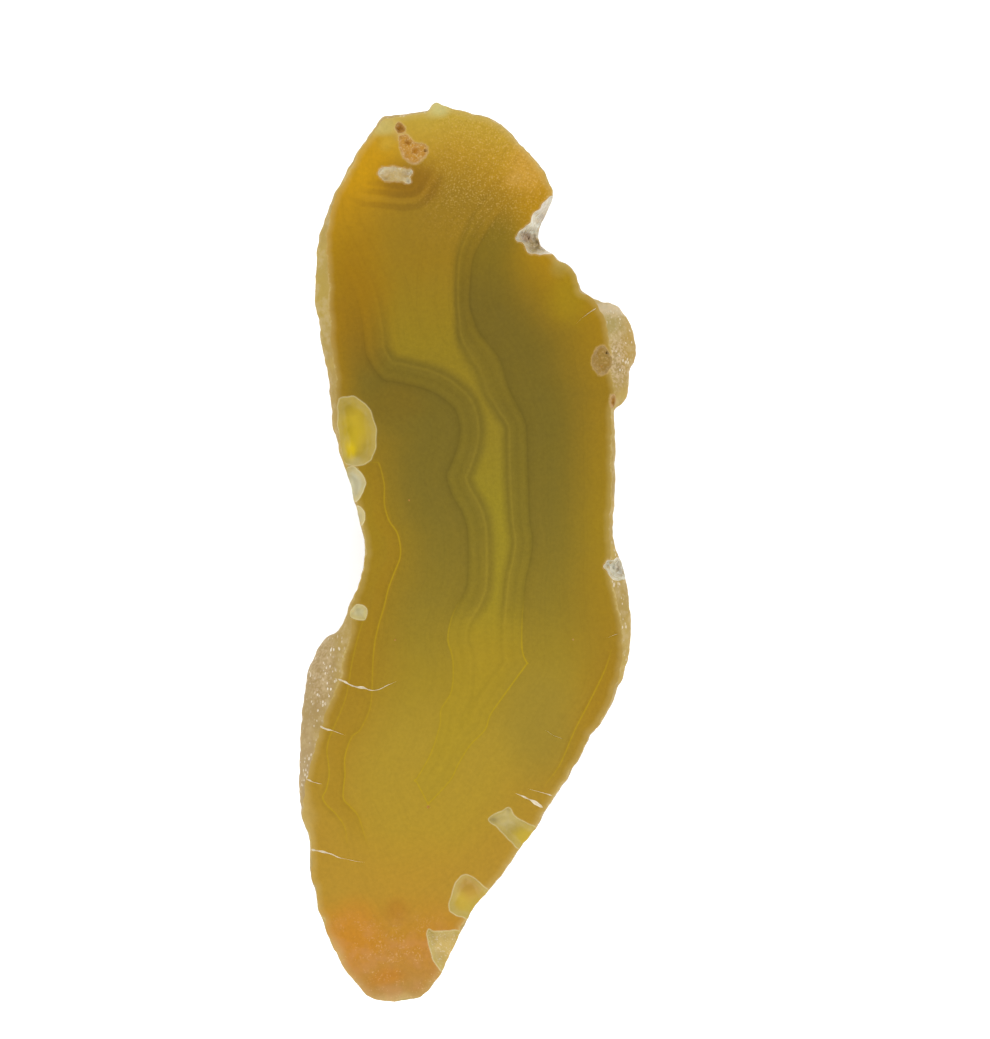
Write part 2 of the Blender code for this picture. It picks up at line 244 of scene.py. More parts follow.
# The dark band, closed round the core of the stone: x, y, how widely its layers are spaced
# against the usual, and how strongly they show. A point given twice makes a corner.
BAND = [
    (-9.2, 18.8, 1.0, 0.7), (-9.1, 17.7, 1.0, 0.9), (-8.5, 16.5, 1.0, 1.0), (-7.5, 15.3, 1.0, 1.0),
    (-6.4, 15.1, 1.0, 1.0), (-4.2, 14.6, 1.0, 1.0), (-2.9, 14.1, 1.0, 1.0), (-1.9, 13.4, 1.0, 1.0),
    (-1.1, 12.6, 1.0, 1.0), (-0.75, 11.4, 1.0, 1.0), (-0.75, 10.1, 1.0, 1.0), (-1.0, 9.1, 1.0, 1.0),
    (-1.55, 7.6, 1.0, 1.0), (-1.9, 6.9, 1.0, 1.0), (-1.7, 5.9, 1.0, 1.0), (-1.25, 4.8, 1.0, 1.0),
    (-0.6, 3.7, 1.0, 1.0), (-0.2, 2.7, 1.0, 1.0), (0.0, 1.6, 1.0, 1.0), (0.05, -0.5, 1.0, 1.0),
    (0.0, -2.5, 1.0, 1.0), (-0.3, -3.7, 1.0, 1.0), (-0.95, -4.8, 1.0, 0.9), (-1.45, -6.0, 0.9, 0.8),
    (-1.75, -7.8, 0.9, 0.7), (-1.3, -9.6, 0.9, 0.6), (-1.4, -12.3, 0.9, 0.6),
    (-2.35, -14.0, 0.9, 0.6), (-2.45, -15.4, 0.8, 0.6), (-3.3, -18.0, 0.8, 0.7),
    (-4.6, -20.3, 0.7, 0.8), (-4.6, -20.3, 0.7, 0.8), (-3.5, -22.4, 0.7, 0.9),
    (-3.5, -22.4, 0.7, 0.9), (-1.55, -20.3, 0.7, 0.9), (-0.85, -18.9, 0.8, 0.8),
    (0.2, -17.2, 0.8, 0.8), (1.55, -15.8, 0.8, 0.8), (2.0, -14.5, 0.8, 0.8), (2.9, -13.2, 0.9, 0.9),
    (4.05, -11.6, 0.9, 0.9), (5.3, -9.9, 0.9, 0.9), (5.3, -9.9, 0.9, 0.9), (4.85, -8.7, 0.9, 0.8),
    (4.85, -6.0, 0.9, 0.8), (5.0, -4.3, 0.9, 0.9), (5.2, -2.5, 0.9, 0.9), (5.6, -0.7, 0.9, 1.0),
    (5.8, 1.1, 0.9, 1.0), (5.55, 2.8, 0.9, 1.0), (5.4, 6.4, 0.95, 1.0), (5.3, 10.0, 0.95, 1.0),
    (5.1, 11.7, 0.9, 1.0), (4.2, 13.5, 1.0, 1.0), (3.6, 14.8, 1.1, 0.9), (2.9, 17.1, 1.15, 0.9),
    (1.65, 18.8, 1.1, 0.9), (0.95, 19.7, 0.95, 1.0), (0.3, 21.5, 0.65, 1.0), (0.2, 22.4, 0.62, 1.0),
    (0.25, 23.7, 0.65, 1.0), (0.5, 26.0, 0.7, 0.9), (1.3, 27.7, 0.8, 0.8), (2.4, 29.5, 0.9, 0.5),
    (3.9, 31.3, 1.0, 0.2), (5.6, 33.4, 1.0, 0.0), (8.0, 40.0, 1.0, 0.0), (0.0, 46.0, 1.0, 0.0),
    (-12.0, 42.0, 1.0, 0.0), (-13.0, 31.0, 1.0, 0.0), (-11.8, 27.0, 1.0, 0.1),
    (-10.2, 23.5, 1.0, 0.25), (-9.5, 21.0, 1.0, 0.45),
]

# The yellow veins, and the arc below the pits: x, y and how strongly they show.
VEIN_INNER = [
    (-8.2, 8.0, 0.3), (-7.85, 7.8, 0.5), (-7.4, 6.0, 0.7), (-7.4, 4.35, 0.7), (-7.0, 2.85, 0.9),
    (-6.3, 1.8, 1.0), (-6.0, 0.7, 1.0), (-6.0, -0.5, 1.0), (-6.5, -1.8, 1.0), (-7.05, -3.3, 1.0),
    (-7.4, -4.8, 0.9), (-7.85, -6.3, 0.8), (-8.2, -7.8, 0.8), (-8.4, -9.6, 0.7), (-8.5, -12.3, 0.6),
    (-8.7, -14.0, 0.6), (-9.55, -15.8, 0.7), (-10.3, -16.45, 0.8), (-10.9, -18.2, 0.9),
    (-10.9, -19.8, 0.9), (-11.05, -21.8, 0.9), (-10.45, -22.6, 0.9), (-9.75, -23.4, 0.8),
    (-9.3, -24.7, 0.6), (-8.95, -25.8, 0.2),
]
VEIN_OUTER = [
    (-9.0, -5.2, 0.2), (-9.8, -7.8, 0.5), (-10.3, -10.0, 0.5), (-10.9, -13.2, 0.5),
    (-12.2, -16.3, 0.7), (-12.5, -17.6, 0.8), (-12.4, -18.5, 0.8), (-12.3, -19.8, 0.9),
    (-12.6, -21.2, 1.0), (-12.9, -21.8, 1.0), (-12.5, -22.5, 1.0), (-11.6, -23.4, 0.9),
    (-10.9, -24.5, 0.6), (-10.7, -26.0, 0.2),
]
VEIN_RIGHT = [
    (12.8, -8.7, 0.2), (12.2, -10.5, 0.7), (10.9, -13.2, 0.9), (9.55, -15.8, 0.8),
    (8.2, -18.9, 0.7), (6.9, -20.7, 0.2),
]
VEINS = {"vein_inner": VEIN_INNER, "vein_outer": VEIN_OUTER, "vein_right": VEIN_RIGHT}
PIT_ARC = [
    (-10.4, 31.6, 0.1), (-9.4, 31.0, 0.6), (-7.9, 30.85, 0.9), (-5.9, 30.6, 1.0),
    (-4.2, 30.85, 1.0), (-3.3, 31.65, 0.9), (-2.7, 32.7, 0.6), (-2.1, 33.8, 0.2),
]

# Dark and pale lines that follow the arc: how far from it towards the pits, half width and softness
# in millimetres, strength, and colour.
PIT_ARC_LINES = [
    (0.0, 0.12, 0.3, 0.35, "7d5a18"), (0.62, 0.1, 0.2, 0.25, "b58c30"),
    (1.15, 0.1, 0.3, 0.3, "7d5a18"), (1.9, 0.1, 0.3, 0.2, "7d5a18"),
]

# The face's colour along the stone, from the tip to the top end: place in millimetres and colour.
# The outer wall lies at the edge, the heart just outside the dark band and the core inside it; the
# amber towards the edge is partly the wall's own colour and partly painted light let in through the
# sides. The ramps are stretched over one length, half of it on each side of the middle.
COLOURED_LENGTH = 80.0
OUTER_COLOURS = [
    (-39.0, "b98c52"), (-35.0, "c68833"), (-30.0, "b99139"), (-20.0, "b08b32"), (-10.0, "a37f25"),
    (2.0, "a1821f"), (14.0, "9c7a1e"), (24.0, "aa8210"), (33.0, "c19018"), (39.0, "c4a548"),
]
HEART_COLOURS = [
    (-39.0, "c08a45"), (-34.0, "c28e36"), (-25.0, "b69535"), (-17.0, "b09336"), (-11.0, "a48a2e"),
    (-4.0, "8f7a2d"), (3.0, "82702c"), (11.0, "7b6a29"), (22.0, "796626"), (28.0, "88701f"),
    (33.0, "a07c2c"), (39.0, "c0a03c"),
]
CORE_COLOURS = [
    (-25.0, "b39634"), (-16.0, "af942d"), (-9.0, "aa8f2a"), (-4.0, "9f8b2b"), (4.0, "9b892a"),
    (12.0, "96812a"), (19.0, "988023"), (26.0, "9c7b20"), (32.0, "9e7c27"), (36.0, "b18a2e"),
    (39.0, "c4a548"),
]

# Soft stains of the sawn face, laid one over another: centre, half width and half length in
# millimetres, strength, and colour.
FACE_STAINS = {
    "golden_corner": ((-9.0, 34.6), (3.4, 3.6), 0.85, "cb980f"),
    "amber_flank": ((-10.0, 22.5), (3.2, 7.5), 0.65, "a2760d"),
    "pit_shade": ((-5.3, 32.8), (3.4, 2.4), 0.8, "946a19"),
    "orange_shoulder": ((5.4, 34.4), (2.4, 3.0), 0.85, "cf9f48"),
    "gold_flank": ((9.2, 22.6), (2.0, 3.4), 0.6, "a48819"),
    "dusky_corner": ((-6.6, 13.4), (3.4, 2.4), 0.5, "83691f"),
    "olive_right": ((6.6, -15.0), (4.0, 6.5), 0.75, "9f8738"),
    "round_spot": ((-6.45, -31.8), (1.4, 1.4), 0.45, "b5782c"),
    "orange_tip": ((-10.2, -34.0), (2.6, 3.4), 0.7, "cc8a30"),
    "burnt_tip": ((-7.2, -37.8), (1.8, 0.9), 0.6, "c8822c"),
    "chalky_edge": ((5.5, 38.0), (3.0, 0.8), 0.5, "c9a766"),
    "chalky_left": ((-14.4, -24.5), (1.2, 4.2), 0.55, "c6a870"),
    "chalky_tip_side": ((-11.7, -36.2), (0.9, 2.2), 0.5, "d0ab7c"),
    "chalky_tip_end": ((-6.4, -39.8), (3.4, 0.7), 0.5, "cdae84"),
    "frosty_nib": ((-2.4, 39.9), (1.6, 1.1), 0.9, "d0c898"),
    "pale_spot": ((-7.1, 36.3), (0.7, 0.7), 0.6, "cba644"),
    "pale_mouth": ((-7.3, 38.0), (1.4, 1.1), 0.75, "cdbc84"),
    "pale_bridge": ((-5.9, 37.1), (0.9, 1.0), 0.6, "cba668"),
    "sandy_arm": ((8.2, 25.4), (1.2, 0.9), 0.5, "ae9858"),
    "shoulder_spot": ((4.0, 33.4), (0.9, 0.9), 0.6, "cc9f52"),
}

# How bright the layers of the dark band are, across it: millimetres from it, inwards negative.
BAND_TONES = [
    (-5.0, 1.0), (-3.4, 1.0), (-2.6, 0.99), (-2.25, 0.92), (-2.0, 0.87), (-1.85, 0.96),
    (-1.68, 1.12), (-1.5, 0.98), (-1.2, 0.92), (-0.95, 0.88), (-0.8, 0.93), (-0.4, 0.95),
    (-0.14, 0.87), (0.0, 0.76), (0.1, 0.87), (0.35, 0.96), (1.0, 1.0),
]

# Soft stains on the broken places; the brightest spot in the left chip is partly its clear yellow
# and partly painted light glowing through the chip's floor.
CHIP_STAINS = {
    "golden_left": ((-10.2, 11.2), (1.7, 3.0), 0.9, "c6aa2c"),
    "yellow_left": ((-10.4, 9.8), (1.0, 2.2), 0.8, "c2a824"),
    # Partly clear yellow chalcedony, partly painted light glowing through the chip's floor.
    "left_chip_glow": ((-10.4, 9.0), (0.6, 0.9), 0.8, "e2c314"),
    "frosted_tail": ((-10.0, 6.0), (1.4, 2.4), 0.9, "d2ccaa"),
    "frosted_nick": ((-9.7, 3.2), (0.9, 1.2), 0.9, "cfc49a"),
    "frosted_bulge": ((-9.7, -5.3), (1.0, 0.9), 1.0, "fff6c0"),
    "frosted_lower": ((3.3, -23.7), (2.2, 1.3), 0.9, "cbb976"),
    "yellow_lower": ((4.9, -25.3), (1.1, 1.1), 0.7, "cdb23c"),
    "orange_tip_chip": ((0.2, -29.8), (1.6, 1.6), 0.8, "c0973e"),
    "yellow_tip_chip": ((-0.6, -31.2), (0.9, 1.1), 0.8, "ccae42"),
    "cream_end_chip": ((-2.2, -35.0), (2.0, 2.6), 0.9, "ceb26c"),
}

# Soft stains on the natural skin.
SKIN_STAINS = {
    "sugared_knob": ((13.5, 17.2), (1.1, 2.4), 0.7, "9a8358"),
    "amber_knob": ((14.8, 18.0), (1.6, 4.0), 0.8, "a9883b"),
    "green_knob": ((12.9, 20.4), (1.2, 1.6), 0.6, "a0935a"),
    "white_crest": ((12.6, 21.6), (1.8, 0.7), 0.8, "c2b495"),
    "brown_bulge": ((-13.4, -11.0), (2.4, 6.0), 0.85, "9d8456"),
    "bulge_foot": ((-14.4, -19.0), (1.4, 5.0), 0.8, "a68d64"),
    "tan_left": ((-13.2, 22.0), (1.0, 9.0), 0.6, "ab933e"),
    "white_nib": ((-2.6, 39.6), (1.4, 0.8), 0.7, "c0b68a"),
}

# Where chips, pits and skin carry fine pale grains, and the skin a crust of white specks: centre,
# half width and half length in millimetres, and strength.
SPECKLED_CHIPS = {"end_chip": ((-2.2, -34.8), (1.8, 2.2), 1.0)}
SUGARED_PITS = {
    "ring": ((-5.3, 36.6), (2.6, 2.8), 1.0),
    "knob": ((12.0, 17.0), (1.2, 1.6), 0.5),
}
SUGARED = {
    "knob": ((13.3, 17.2), (1.1, 2.9), 1.0),
    "knob_crest": ((12.8, 21.4), (1.8, 0.8), 0.7),
    "bulge": ((-13.2, -10.0), (1.4, 4.0), 0.6),
}
CRUSTED = {
    "bulge": ((-13.0, -10.5), (2.2, 6.5), 1.0),
    "bulge_foot": ((-14.0, -20.0), (1.4, 5.0), 0.7),
    "knob": ((13.6, 18.6), (1.9, 3.6), 0.8),
    "right_side": ((13.6, -5.0), (1.4, 8.0), 0.7),
    "tip": ((-7.0, -38.6), (6.0, 2.0), 0.7),
    "top": ((-4.0, 38.6), (5.0, 1.4), 0.6),
}

# Soft stains on the quartz grains.
GRAIN_STAINS = {
    "rusty_shoulder": ((5.3, 28.1), (0.7, 0.5), 0.7, "9c7048"),
    "grey_grains": ((-7.2, 33.4), (0.45, 0.5), 0.7, "9c8f92"),
    "violet_grains": ((-5.6, 33.6), (0.5, 0.35), 0.6, "a29392"),
    "cream_grains": ((-6.5, 33.4), (2.0, 1.2), 0.75, "bfa050"),
    "sandy_shoulder": ((6.1, 27.3), (1.3, 1.0), 0.75, "ad9050"),
    "rosy_shoulder": ((6.9, 30.3), (1.0, 1.6), 0.5, "c6b49c"),
    "tan_hollow": ((12.0, 17.0), (1.8, 2.2), 0.8, "8f7436"),
    "amber_pits": ((-5.4, 36.7), (2.4, 2.6), 0.7, "bd882e"),
}

# The colours of single grains, over a scale from 0 to 1.
GRAIN_COLOURS = [
    (0.0, "cdb684"), (0.25, "ecebd8"), (0.5, "dfd6b8"), (0.75, "bdb08c"), (1.0, "f2efdc"),
]

# The finishes, in the order of the mesh's material slots.
SAWN, SKIN, FLAKE, CRYSTALS, PIT, FROST = range(6)

# Gloss and clearness of all finishes. The glow is light that goes in and comes out again close by.
AGATE_IOR = 1.54
DULL_GLOSS = 0.1
GLOW_COLOUR = (1.0, 0.7, 0.25)
GLOW_REACH = 0.8 * MM

# How far the light is above what turns a white floor just white. The stone's colours make up for
# it, so the floor comes out clear and the stone at its own brightness.
LIGHT_LEVEL = 2.0

# Steps of the smooth curves between two points of a list: of the plan behind the back's height, of
# the dark band, and of the veins and cracks.
PLAN_STEPS = 6
BAND_STEPS = 4
LINE_STEPS = 6

# Small waves that make lines and surfaces uneven: height, spacing and seed of each, the first two
# in millimetres.
EDGE_WAVES = [(0.16, 1.5, 3.0), (0.09, 0.6, 5.0)]
SKIN_RELIEF = [(0.2, 2.4, 0.0), (0.13, 1.1, 0.0), (0.07, 0.5, 0.0)]
FLAKE_ROUGHNESS = [(0.16, 1.3, 9.0), (0.06, 0.5, 2.0)]
GRAIN_LEVELS = [(0.2, 1.4, 4.0)]
CRACK_STRAYS = [(0.12, 0.9, 13.0)]

# Nicks along the sawn edge: share of the full depth, spacing, seed, and how high the noise has to
# rise for a nick.
NICKS = [(1.4, 1.3, 11.0, 0.25), (0.6, 0.45, 17.0, 0.15)]

# How often the inward direction of each column of the skin is averaged with its neighbours'.
EDGE_SMOOTHING = 120

# Where along Y the back is thickest, and what brings its lumps to nearly their full height where
# they are strongest, a third of the way up.
BACK_MIDDLE = -0.5 * MM
LUMP_FADE = 6.5

# Quartz grains, and the ripples of a flake.
GRAIN_SIZE = 0.45 * MM
GRAIN_HEIGHT = 0.2 * MM
RIPPLE_HEIGHT = 0.03 * MM
RIPPLE_SPACING = 0.3 * MM

# The cutters: spacing of their points, how far they stand above the sawn face, the steepest slope
# that their relief allows for, and the corners of a pinhole.
RIM_SPACING = 0.16 * MM
CUTTER_LIFT = 0.15 * MM
CRACK_LIFT = 0.05 * MM
STEEPEST = 1.5
PINHOLE_CORNERS = 14

# Points nearer to an outline than this share of their spacing are left out.
OUTLINE_CLEARANCE = 0.55

# Stored distances, in millimetres: how far down the stone they are measured, what stands for far
# away, and how near a vein its strength counts. The layers are counted from the edge to the band.
MEASURED_DEPTH = 4.0
FAR = 9.0
VEIN_REACH = 1.2
WALL_LAYERS = 7

# Faces that meet at more than this angle keep a sharp edge between them.
SHARP_ANGLE = math.radians(38)


def linear(code):
    """The scene-linear colour of a six-digit colour code, for this light."""
    shares = [int(code[i:i + 2], 16) / 255 for i in (0, 2, 4)]
    curved = [((s + 0.055) / 1.055) ** 2.4 if s > 0.04045 else s / 12.92 for s in shares]
    return [share / LIGHT_LEVEL for share in curved]


class AgateStoneSettings(bpy.types.PropertyGroup):
    """Sizes of the stone and how finely it is meshed."""

    length: bpy.props.FloatProperty(
        name="Length", description="Size along Y", default=CAD_SIZE.y, unit="LENGTH", precision=4
    )
    width: bpy.props.FloatProperty(
        name="Width", description="Size along X", default=CAD_SIZE.x, unit="LENGTH", precision=4
    )
    thickness: bpy.props.FloatProperty(
        name="Thickness", description="Height of the sawn face", default=CAD_HIGH.z,
        unit="LENGTH", precision=4,
    )
    back_depth: bpy.props.FloatProperty(
        name="Back depth", description="Depth of the back before it is worn flat",
        default=13.0 * MM, unit="LENGTH", precision=4,
    )
    deepest_distance: bpy.props.FloatProperty(
        name="Deepest distance", description="How far inside the widest line the back is deepest",
        default=9.6 * MM, unit="LENGTH", precision=4,
    )
    back_fullness: bpy.props.FloatProperty(
        name="Back fullness", description="How quickly the back rounds under", default=2.1
    )
    end_thinning: bpy.props.FloatProperty(
        name="End thinning", description="Share of the depth lost at the ends", default=0.36,
        subtype="FACTOR",
    )
    widest_drop: bpy.props.FloatProperty(
        name="Widest drop", description="How far below the sawn face the stone is widest",
        default=0.35 * MM, unit="LENGTH", precision=5,
    )
    drop_per_skin: bpy.props.FloatProperty(
        name="Drop per skin", description="Further drop for each metre of skin that shows",
        default=0.85,
    )
    shoulder_angle: bpy.props.FloatProperty(
        name="Shoulder angle", description="Arc of the skin between the edge and the widest line",
        default=math.radians(58), subtype="ANGLE",
    )
    lump_height: bpy.props.FloatProperty(
        name="Lump height", description="Height of the broad lumps of the back",
        default=2.2 * MM, unit="LENGTH", precision=4,
    )
    lump_spacing: bpy.props.FloatProperty(
        name="Lump spacing", description="Distance between broad lumps",
        default=9.0 * MM, unit="LENGTH", precision=4,
    )
    knuckle_height: bpy.props.FloatProperty(
        name="Knuckle height", description="Height of the small lumps of the back",
        default=0.8 * MM, unit="LENGTH", precision=4,
    )
    knuckle_spacing: bpy.props.FloatProperty(
        name="Knuckle spacing", description="Distance between small lumps",
        default=3.6 * MM, unit="LENGTH", precision=4,
    )
    nick_depth: bpy.props.FloatProperty(
        name="Nick depth", description="Depth of the nicks along the sawn edge",
        default=0.3 * MM, unit="LENGTH", precision=5,
    )
    face_spacing: bpy.props.FloatProperty(
        name="Face spacing", description="Distance between points of the sawn face",
        default=0.28 * MM, unit="LENGTH", precision=5,
    )
    steep_width: bpy.props.FloatProperty(
        name="Steep width", description="How far in from the widest line the steep side is meshed",
        default=1.0 * MM, unit="LENGTH", precision=4,
    )
    back_spacing: bpy.props.FloatProperty(
        name="Back spacing", description="Distance between points of the back",
        default=0.36 * MM, unit="LENGTH", precision=5,
    )
    steps_per_point: bpy.props.IntProperty(
        name="Steps per point", description="Columns of the skin for each point of the outline",
        default=14,
    )
    shoulder_rings: bpy.props.IntProperty(
        name="Shoulder rings", description="Rings from the sawn edge to the widest line", default=8
    )
    steep_rings: bpy.props.IntProperty(
        name="Steep rings", description="Rings down the steep side", default=10
    )


class AgateLookSettings(bpy.types.PropertyGroup):
    """Colours of the stone's surfaces."""

    stone_tint: bpy.props.FloatVectorProperty(
        name="Stone tint", description="Multiplies all colours of the sawn face",
        default=(0.9, 0.89, 0.6), subtype="COLOR",
    )
    amber: bpy.props.FloatVectorProperty(
        name="Amber", description="The outer wall, beyond the yellow veins",
        default=linear("a8801a"), subtype="COLOR",
    )
    vein: bpy.props.FloatVectorProperty(
        name="Vein", description="The thin yellow veins", default=linear("c2a410"), subtype="COLOR"
    )
    # This colour is the frost along the sawn edge and also the painted highlight beside it.
    edge_frost_and_highlight: bpy.props.FloatVectorProperty(
        name="Pale rim", description="The frosted line along the sawn edge",
        default=linear("cdb87c"), subtype="COLOR",
    )
    flake: bpy.props.FloatVectorProperty(
        name="Flake", description="Freshly broken chalcedony", default=linear("bfa648"),
        subtype="COLOR",
    )
    flake_rim: bpy.props.FloatVectorProperty(
        name="Flake rim", description="The pale fringe of a flake", default=linear("c2ae6a"),
        subtype="COLOR",
    )
    quartz: bpy.props.FloatVectorProperty(
        name="Quartz", description="The quartz grains of the pits", default=linear("d8ccb4"),
        subtype="COLOR",
    )
    pit: bpy.props.FloatVectorProperty(
        name="Pit", description="The bottoms of the pits", default=linear("ae7b2c"),
        subtype="COLOR",
    )
    skin: bpy.props.FloatVectorProperty(
        name="Skin", description="The natural skin", default=linear("b2974d"), subtype="COLOR"
    )
    skin_dark: bpy.props.FloatVectorProperty(
        name="Dark skin", description="The skin's darker patches", default=linear("8c7244"),
        subtype="COLOR",
    )
    skin_speck: bpy.props.FloatVectorProperty(
        name="Skin speck", description="The skin's white specks", default=linear("e8dfca"),
        subtype="COLOR",
    )


class AgateStageSettings(bpy.types.PropertyGroup):
    """Floor, lights and camera."""

    floor: bpy.props.FloatVectorProperty(
        name="Floor", description="Colour of the floor", default=(0.95, 0.96, 0.98),
        subtype="COLOR",
    )
    floor_radius: bpy.props.FloatProperty(
        name="Floor radius", description="Radius of the round floor", default=2.0, unit="LENGTH"
    )
    lens: bpy.props.FloatProperty(
        name="Lens", description="Focal length of the camera, in millimetres", default=150.0
    )
    frame_height: bpy.props.FloatProperty(
        name="Frame height", description="Height of the view at the sawn face",
        default=92.36 * MM, unit="LENGTH", precision=5,
    )
    look_at: bpy.props.FloatVectorProperty(
        name="Look at", description="Point in the middle of the view",
        default=(2.44 * MM, 2.89 * MM, CAD_HIGH.z), subtype="XYZ", precision=5,
    )
    lamp_count: bpy.props.IntProperty(
        name="Lamps", description="Soft lamps in a ring round the stone", default=6
    )
    lamp_power: bpy.props.FloatProperty(
        name="Lamp power", description="Power of each lamp in watts", default=1.1 * LIGHT_LEVEL
    )
    lamp_size: bpy.props.FloatProperty(
        name="Lamp size", description="Side of each square lamp", default=0.36, unit="LENGTH"
    )
    ring_radius: bpy.props.FloatProperty(
        name="Ring radius", description="Radius of the ring of lamps", default=0.55, unit="LENGTH"
    )
    ring_height: bpy.props.FloatProperty(
        name="Ring height", description="Height of the ring of lamps", default=0.42, unit="LENGTH"
    )
    sky: bpy.props.FloatProperty(
        name="Sky", description="Strength of the light from overhead", default=0.2 * LIGHT_LEVEL
    )
    horizon: bpy.props.FloatProperty(
        name="Horizon", description="Strength of the light from the horizon", default=LIGHT_LEVEL
    )


def closed_curve(points, steps):
    """A smooth closed curve through the points, with this many rows for each point."""
    points = np.array(points, float)
    before, after, later = (np.roll(points, k, axis=0) for k in (1, -1, -2))
    rows = []
    for step in range(steps):
        t = step / steps
        bend = 2 * before - 5 * points + 4 * after - later
        swing = 3 * points - before - 3 * after + later
        rows.append(points + 0.5 * t * ((after - before) + t * (bend + t * swing)))
    return np.stack(rows, axis=1).reshape(-1, points.shape[1])


def open_curve(points, steps):
    """A smooth curve from the first point to the last."""
    first, last = points[0], points[-1]
    rows = closed_curve([first, *points, last], steps)
    return rows[steps:-2 * steps + 1]


def smoothstep(low, high, values):
    """0 up to low, 1 from high on, and a smooth rise between."""
    share = np.clip((values - low) / (high - low), 0, 1)
    return share * share * (3 - 2 * share)


def measure(points, line, closed=False):
    """For each point its distance to the line, positive on its left, and the line's own values.

    The values are the columns of the line after x and y, at the nearest place on it.
    """
    best = np.full(len(points), np.inf)
    signed = np.zeros(len(points))
    carried = np.zeros((len(points), line.shape[1] - 2))
    count = len(line)
    for k in range(count if closed else count - 1):
        start, end = line[k], line[(k + 1) % count]
        run = end[:2] - start[:2]
        reach = points - start[:2]
        share = np.clip(reach @ run / max(run @ run, 1e-12), 0, 1)
        gap = reach - share[:, None] * run
        distance = np.hypot(gap[:, 0], gap[:, 1])
        across = (run[0] * reach[:, 1] - run[1] * reach[:, 0]) / max(np.hypot(*run), 1e-9)
        # At a corner two pieces are equally near, and the one that the point is more squarely
        # beside decides the side.
        score = distance - 1e-3 * np.abs(across)
        near = score < best
        best[near] = score[near]
        signed[near] = np.copysign(distance, across)[near]
        carried[near] = (start[2:] + share[:, None] * (end[2:] - start[2:]))[near]
    return signed, carried


def inside(points, line):
    """Which points lie inside a closed line."""
    found = np.zeros(len(points), bool)
    for k in range(len(line)):
        (ax, ay), (bx, by) = line[k][:2], line[k - 1][:2]
        spans = (ay > points[:, 1]) != (by > points[:, 1])
        if spans.any():
            crossing = (bx - ax) * (points[:, 1] - ay) / (by - ay) + ax
            found ^= spans & (points[:, 0] < crossing)
    return found


def fitted_to_size(curve, shape):
    """The curve in metres, with its bounding box the stone's width by its length."""
    low, high = curve[:, :2].min(axis=0), curve[:, :2].max(axis=0)
    scale = np.array([shape.width, shape.length]) / (high - low)
    plan = (curve[:, :2] - (low + high) / 2) * scale
    return np.column_stack([plan, curve[:, 2] * MM])


def inwards_along(curve):
    """The direction towards the inside at each point of a closed curve."""
    along = np.roll(curve, -1, axis=0)[:, :2] - np.roll(curve, 1, axis=0)[:, :2]
    across = np.column_stack([along[:, 1], -along[:, 0]])
    return across / np.linalg.norm(across, axis=1)[:, None]


def waves(points, spacing, seed=0.0):
    """Smooth noise from about -0.5 to 0.5 at each point, with this spacing."""
    shift = Vector((seed, 1.7 * seed, 0.3 * seed))
    return np.array([noise.noise(Vector(p) / spacing + shift) for p in points])


def uneven(points, layers):
    """The sum of several waves at each point, from their heights, spacings and seeds."""
    return sum(height * MM * waves(points, spacing * MM, seed) for height, spacing, seed in layers)


def on_face(plan, shape):
    """Plan points as points of the sawn face."""
    return np.column_stack([plan[:, :2], np.full(len(plan), shape.thickness)])


def inwards_from_edge(shape):
    """The direction towards the inside at each column, smoothed so that columns don't cross."""
    smooth = fitted_to_size(closed_curve(WIDEST_LINE, shape.steps_per_point), shape)
    inwards = inwards_along(smooth)
    for _ in range(EDGE_SMOOTHING):
        inwards = (np.roll(inwards, 1, axis=0) + 2 * inwards + np.roll(inwards, -1, axis=0)) / 4
    return inwards


def widest_curve(shape):
    """The widest line with small waves along it: x, y and the skin that shows, in metres."""
    curve = fitted_to_size(closed_curve(WIDEST_LINE, shape.steps_per_point), shape)
    wave = uneven(on_face(curve, shape), EDGE_WAVES)
    curve[:, :2] += inwards_from_edge(shape) * wave[:, None]
    return curve


def sawn_edge(widest, shape):
    """The sawn edge: the widest line moved inwards by its skin, with nicks in it."""
    places = on_face(widest, shape)
    nicks = sum(
        depth * np.maximum(waves(places, spacing * MM, seed) - start, 0)
        for depth, spacing, seed, start in NICKS
    )
    # Where little skin shows, the edge stands a little farther out.
    skin = widest[:, 2]
    thin = 0.2 * MM * (1 - smoothstep(0.4 * MM, 1.1 * MM, skin))
    reach = skin - thin + shape.nick_depth * nicks
    return widest[:, :2] + inwards_from_edge(shape) * reach[:, None]


def pull_of(points, curve):
    """How hard each piece of a closed curve pulls at each point, by the inverse cube.

    The whole pull gives a smooth distance to the curve, exact beside a straight edge and without a
    crease along the middle. The shares of it give each point a blend of the curve's own values.
    """
    start = curve[:, :2]
    along = np.roll(start, -1, axis=0) - start
    length = np.linalg.norm(along, axis=1)
    along = along / length[:, None]
    reach = points[:, None, :] - start[None, :, :]
    before = -(reach * along).sum(axis=2)
    after = before + length
    square = np.maximum((reach**2).sum(axis=2) - before**2, 1e-14)
    return (after / np.sqrt(square + after**2) - before / np.sqrt(square + before**2)) / square


def distance_inside(points, curve):
    """A smooth distance from each point to the curve round it."""
    return np.sqrt(2 / pull_of(points, curve).sum(axis=1))


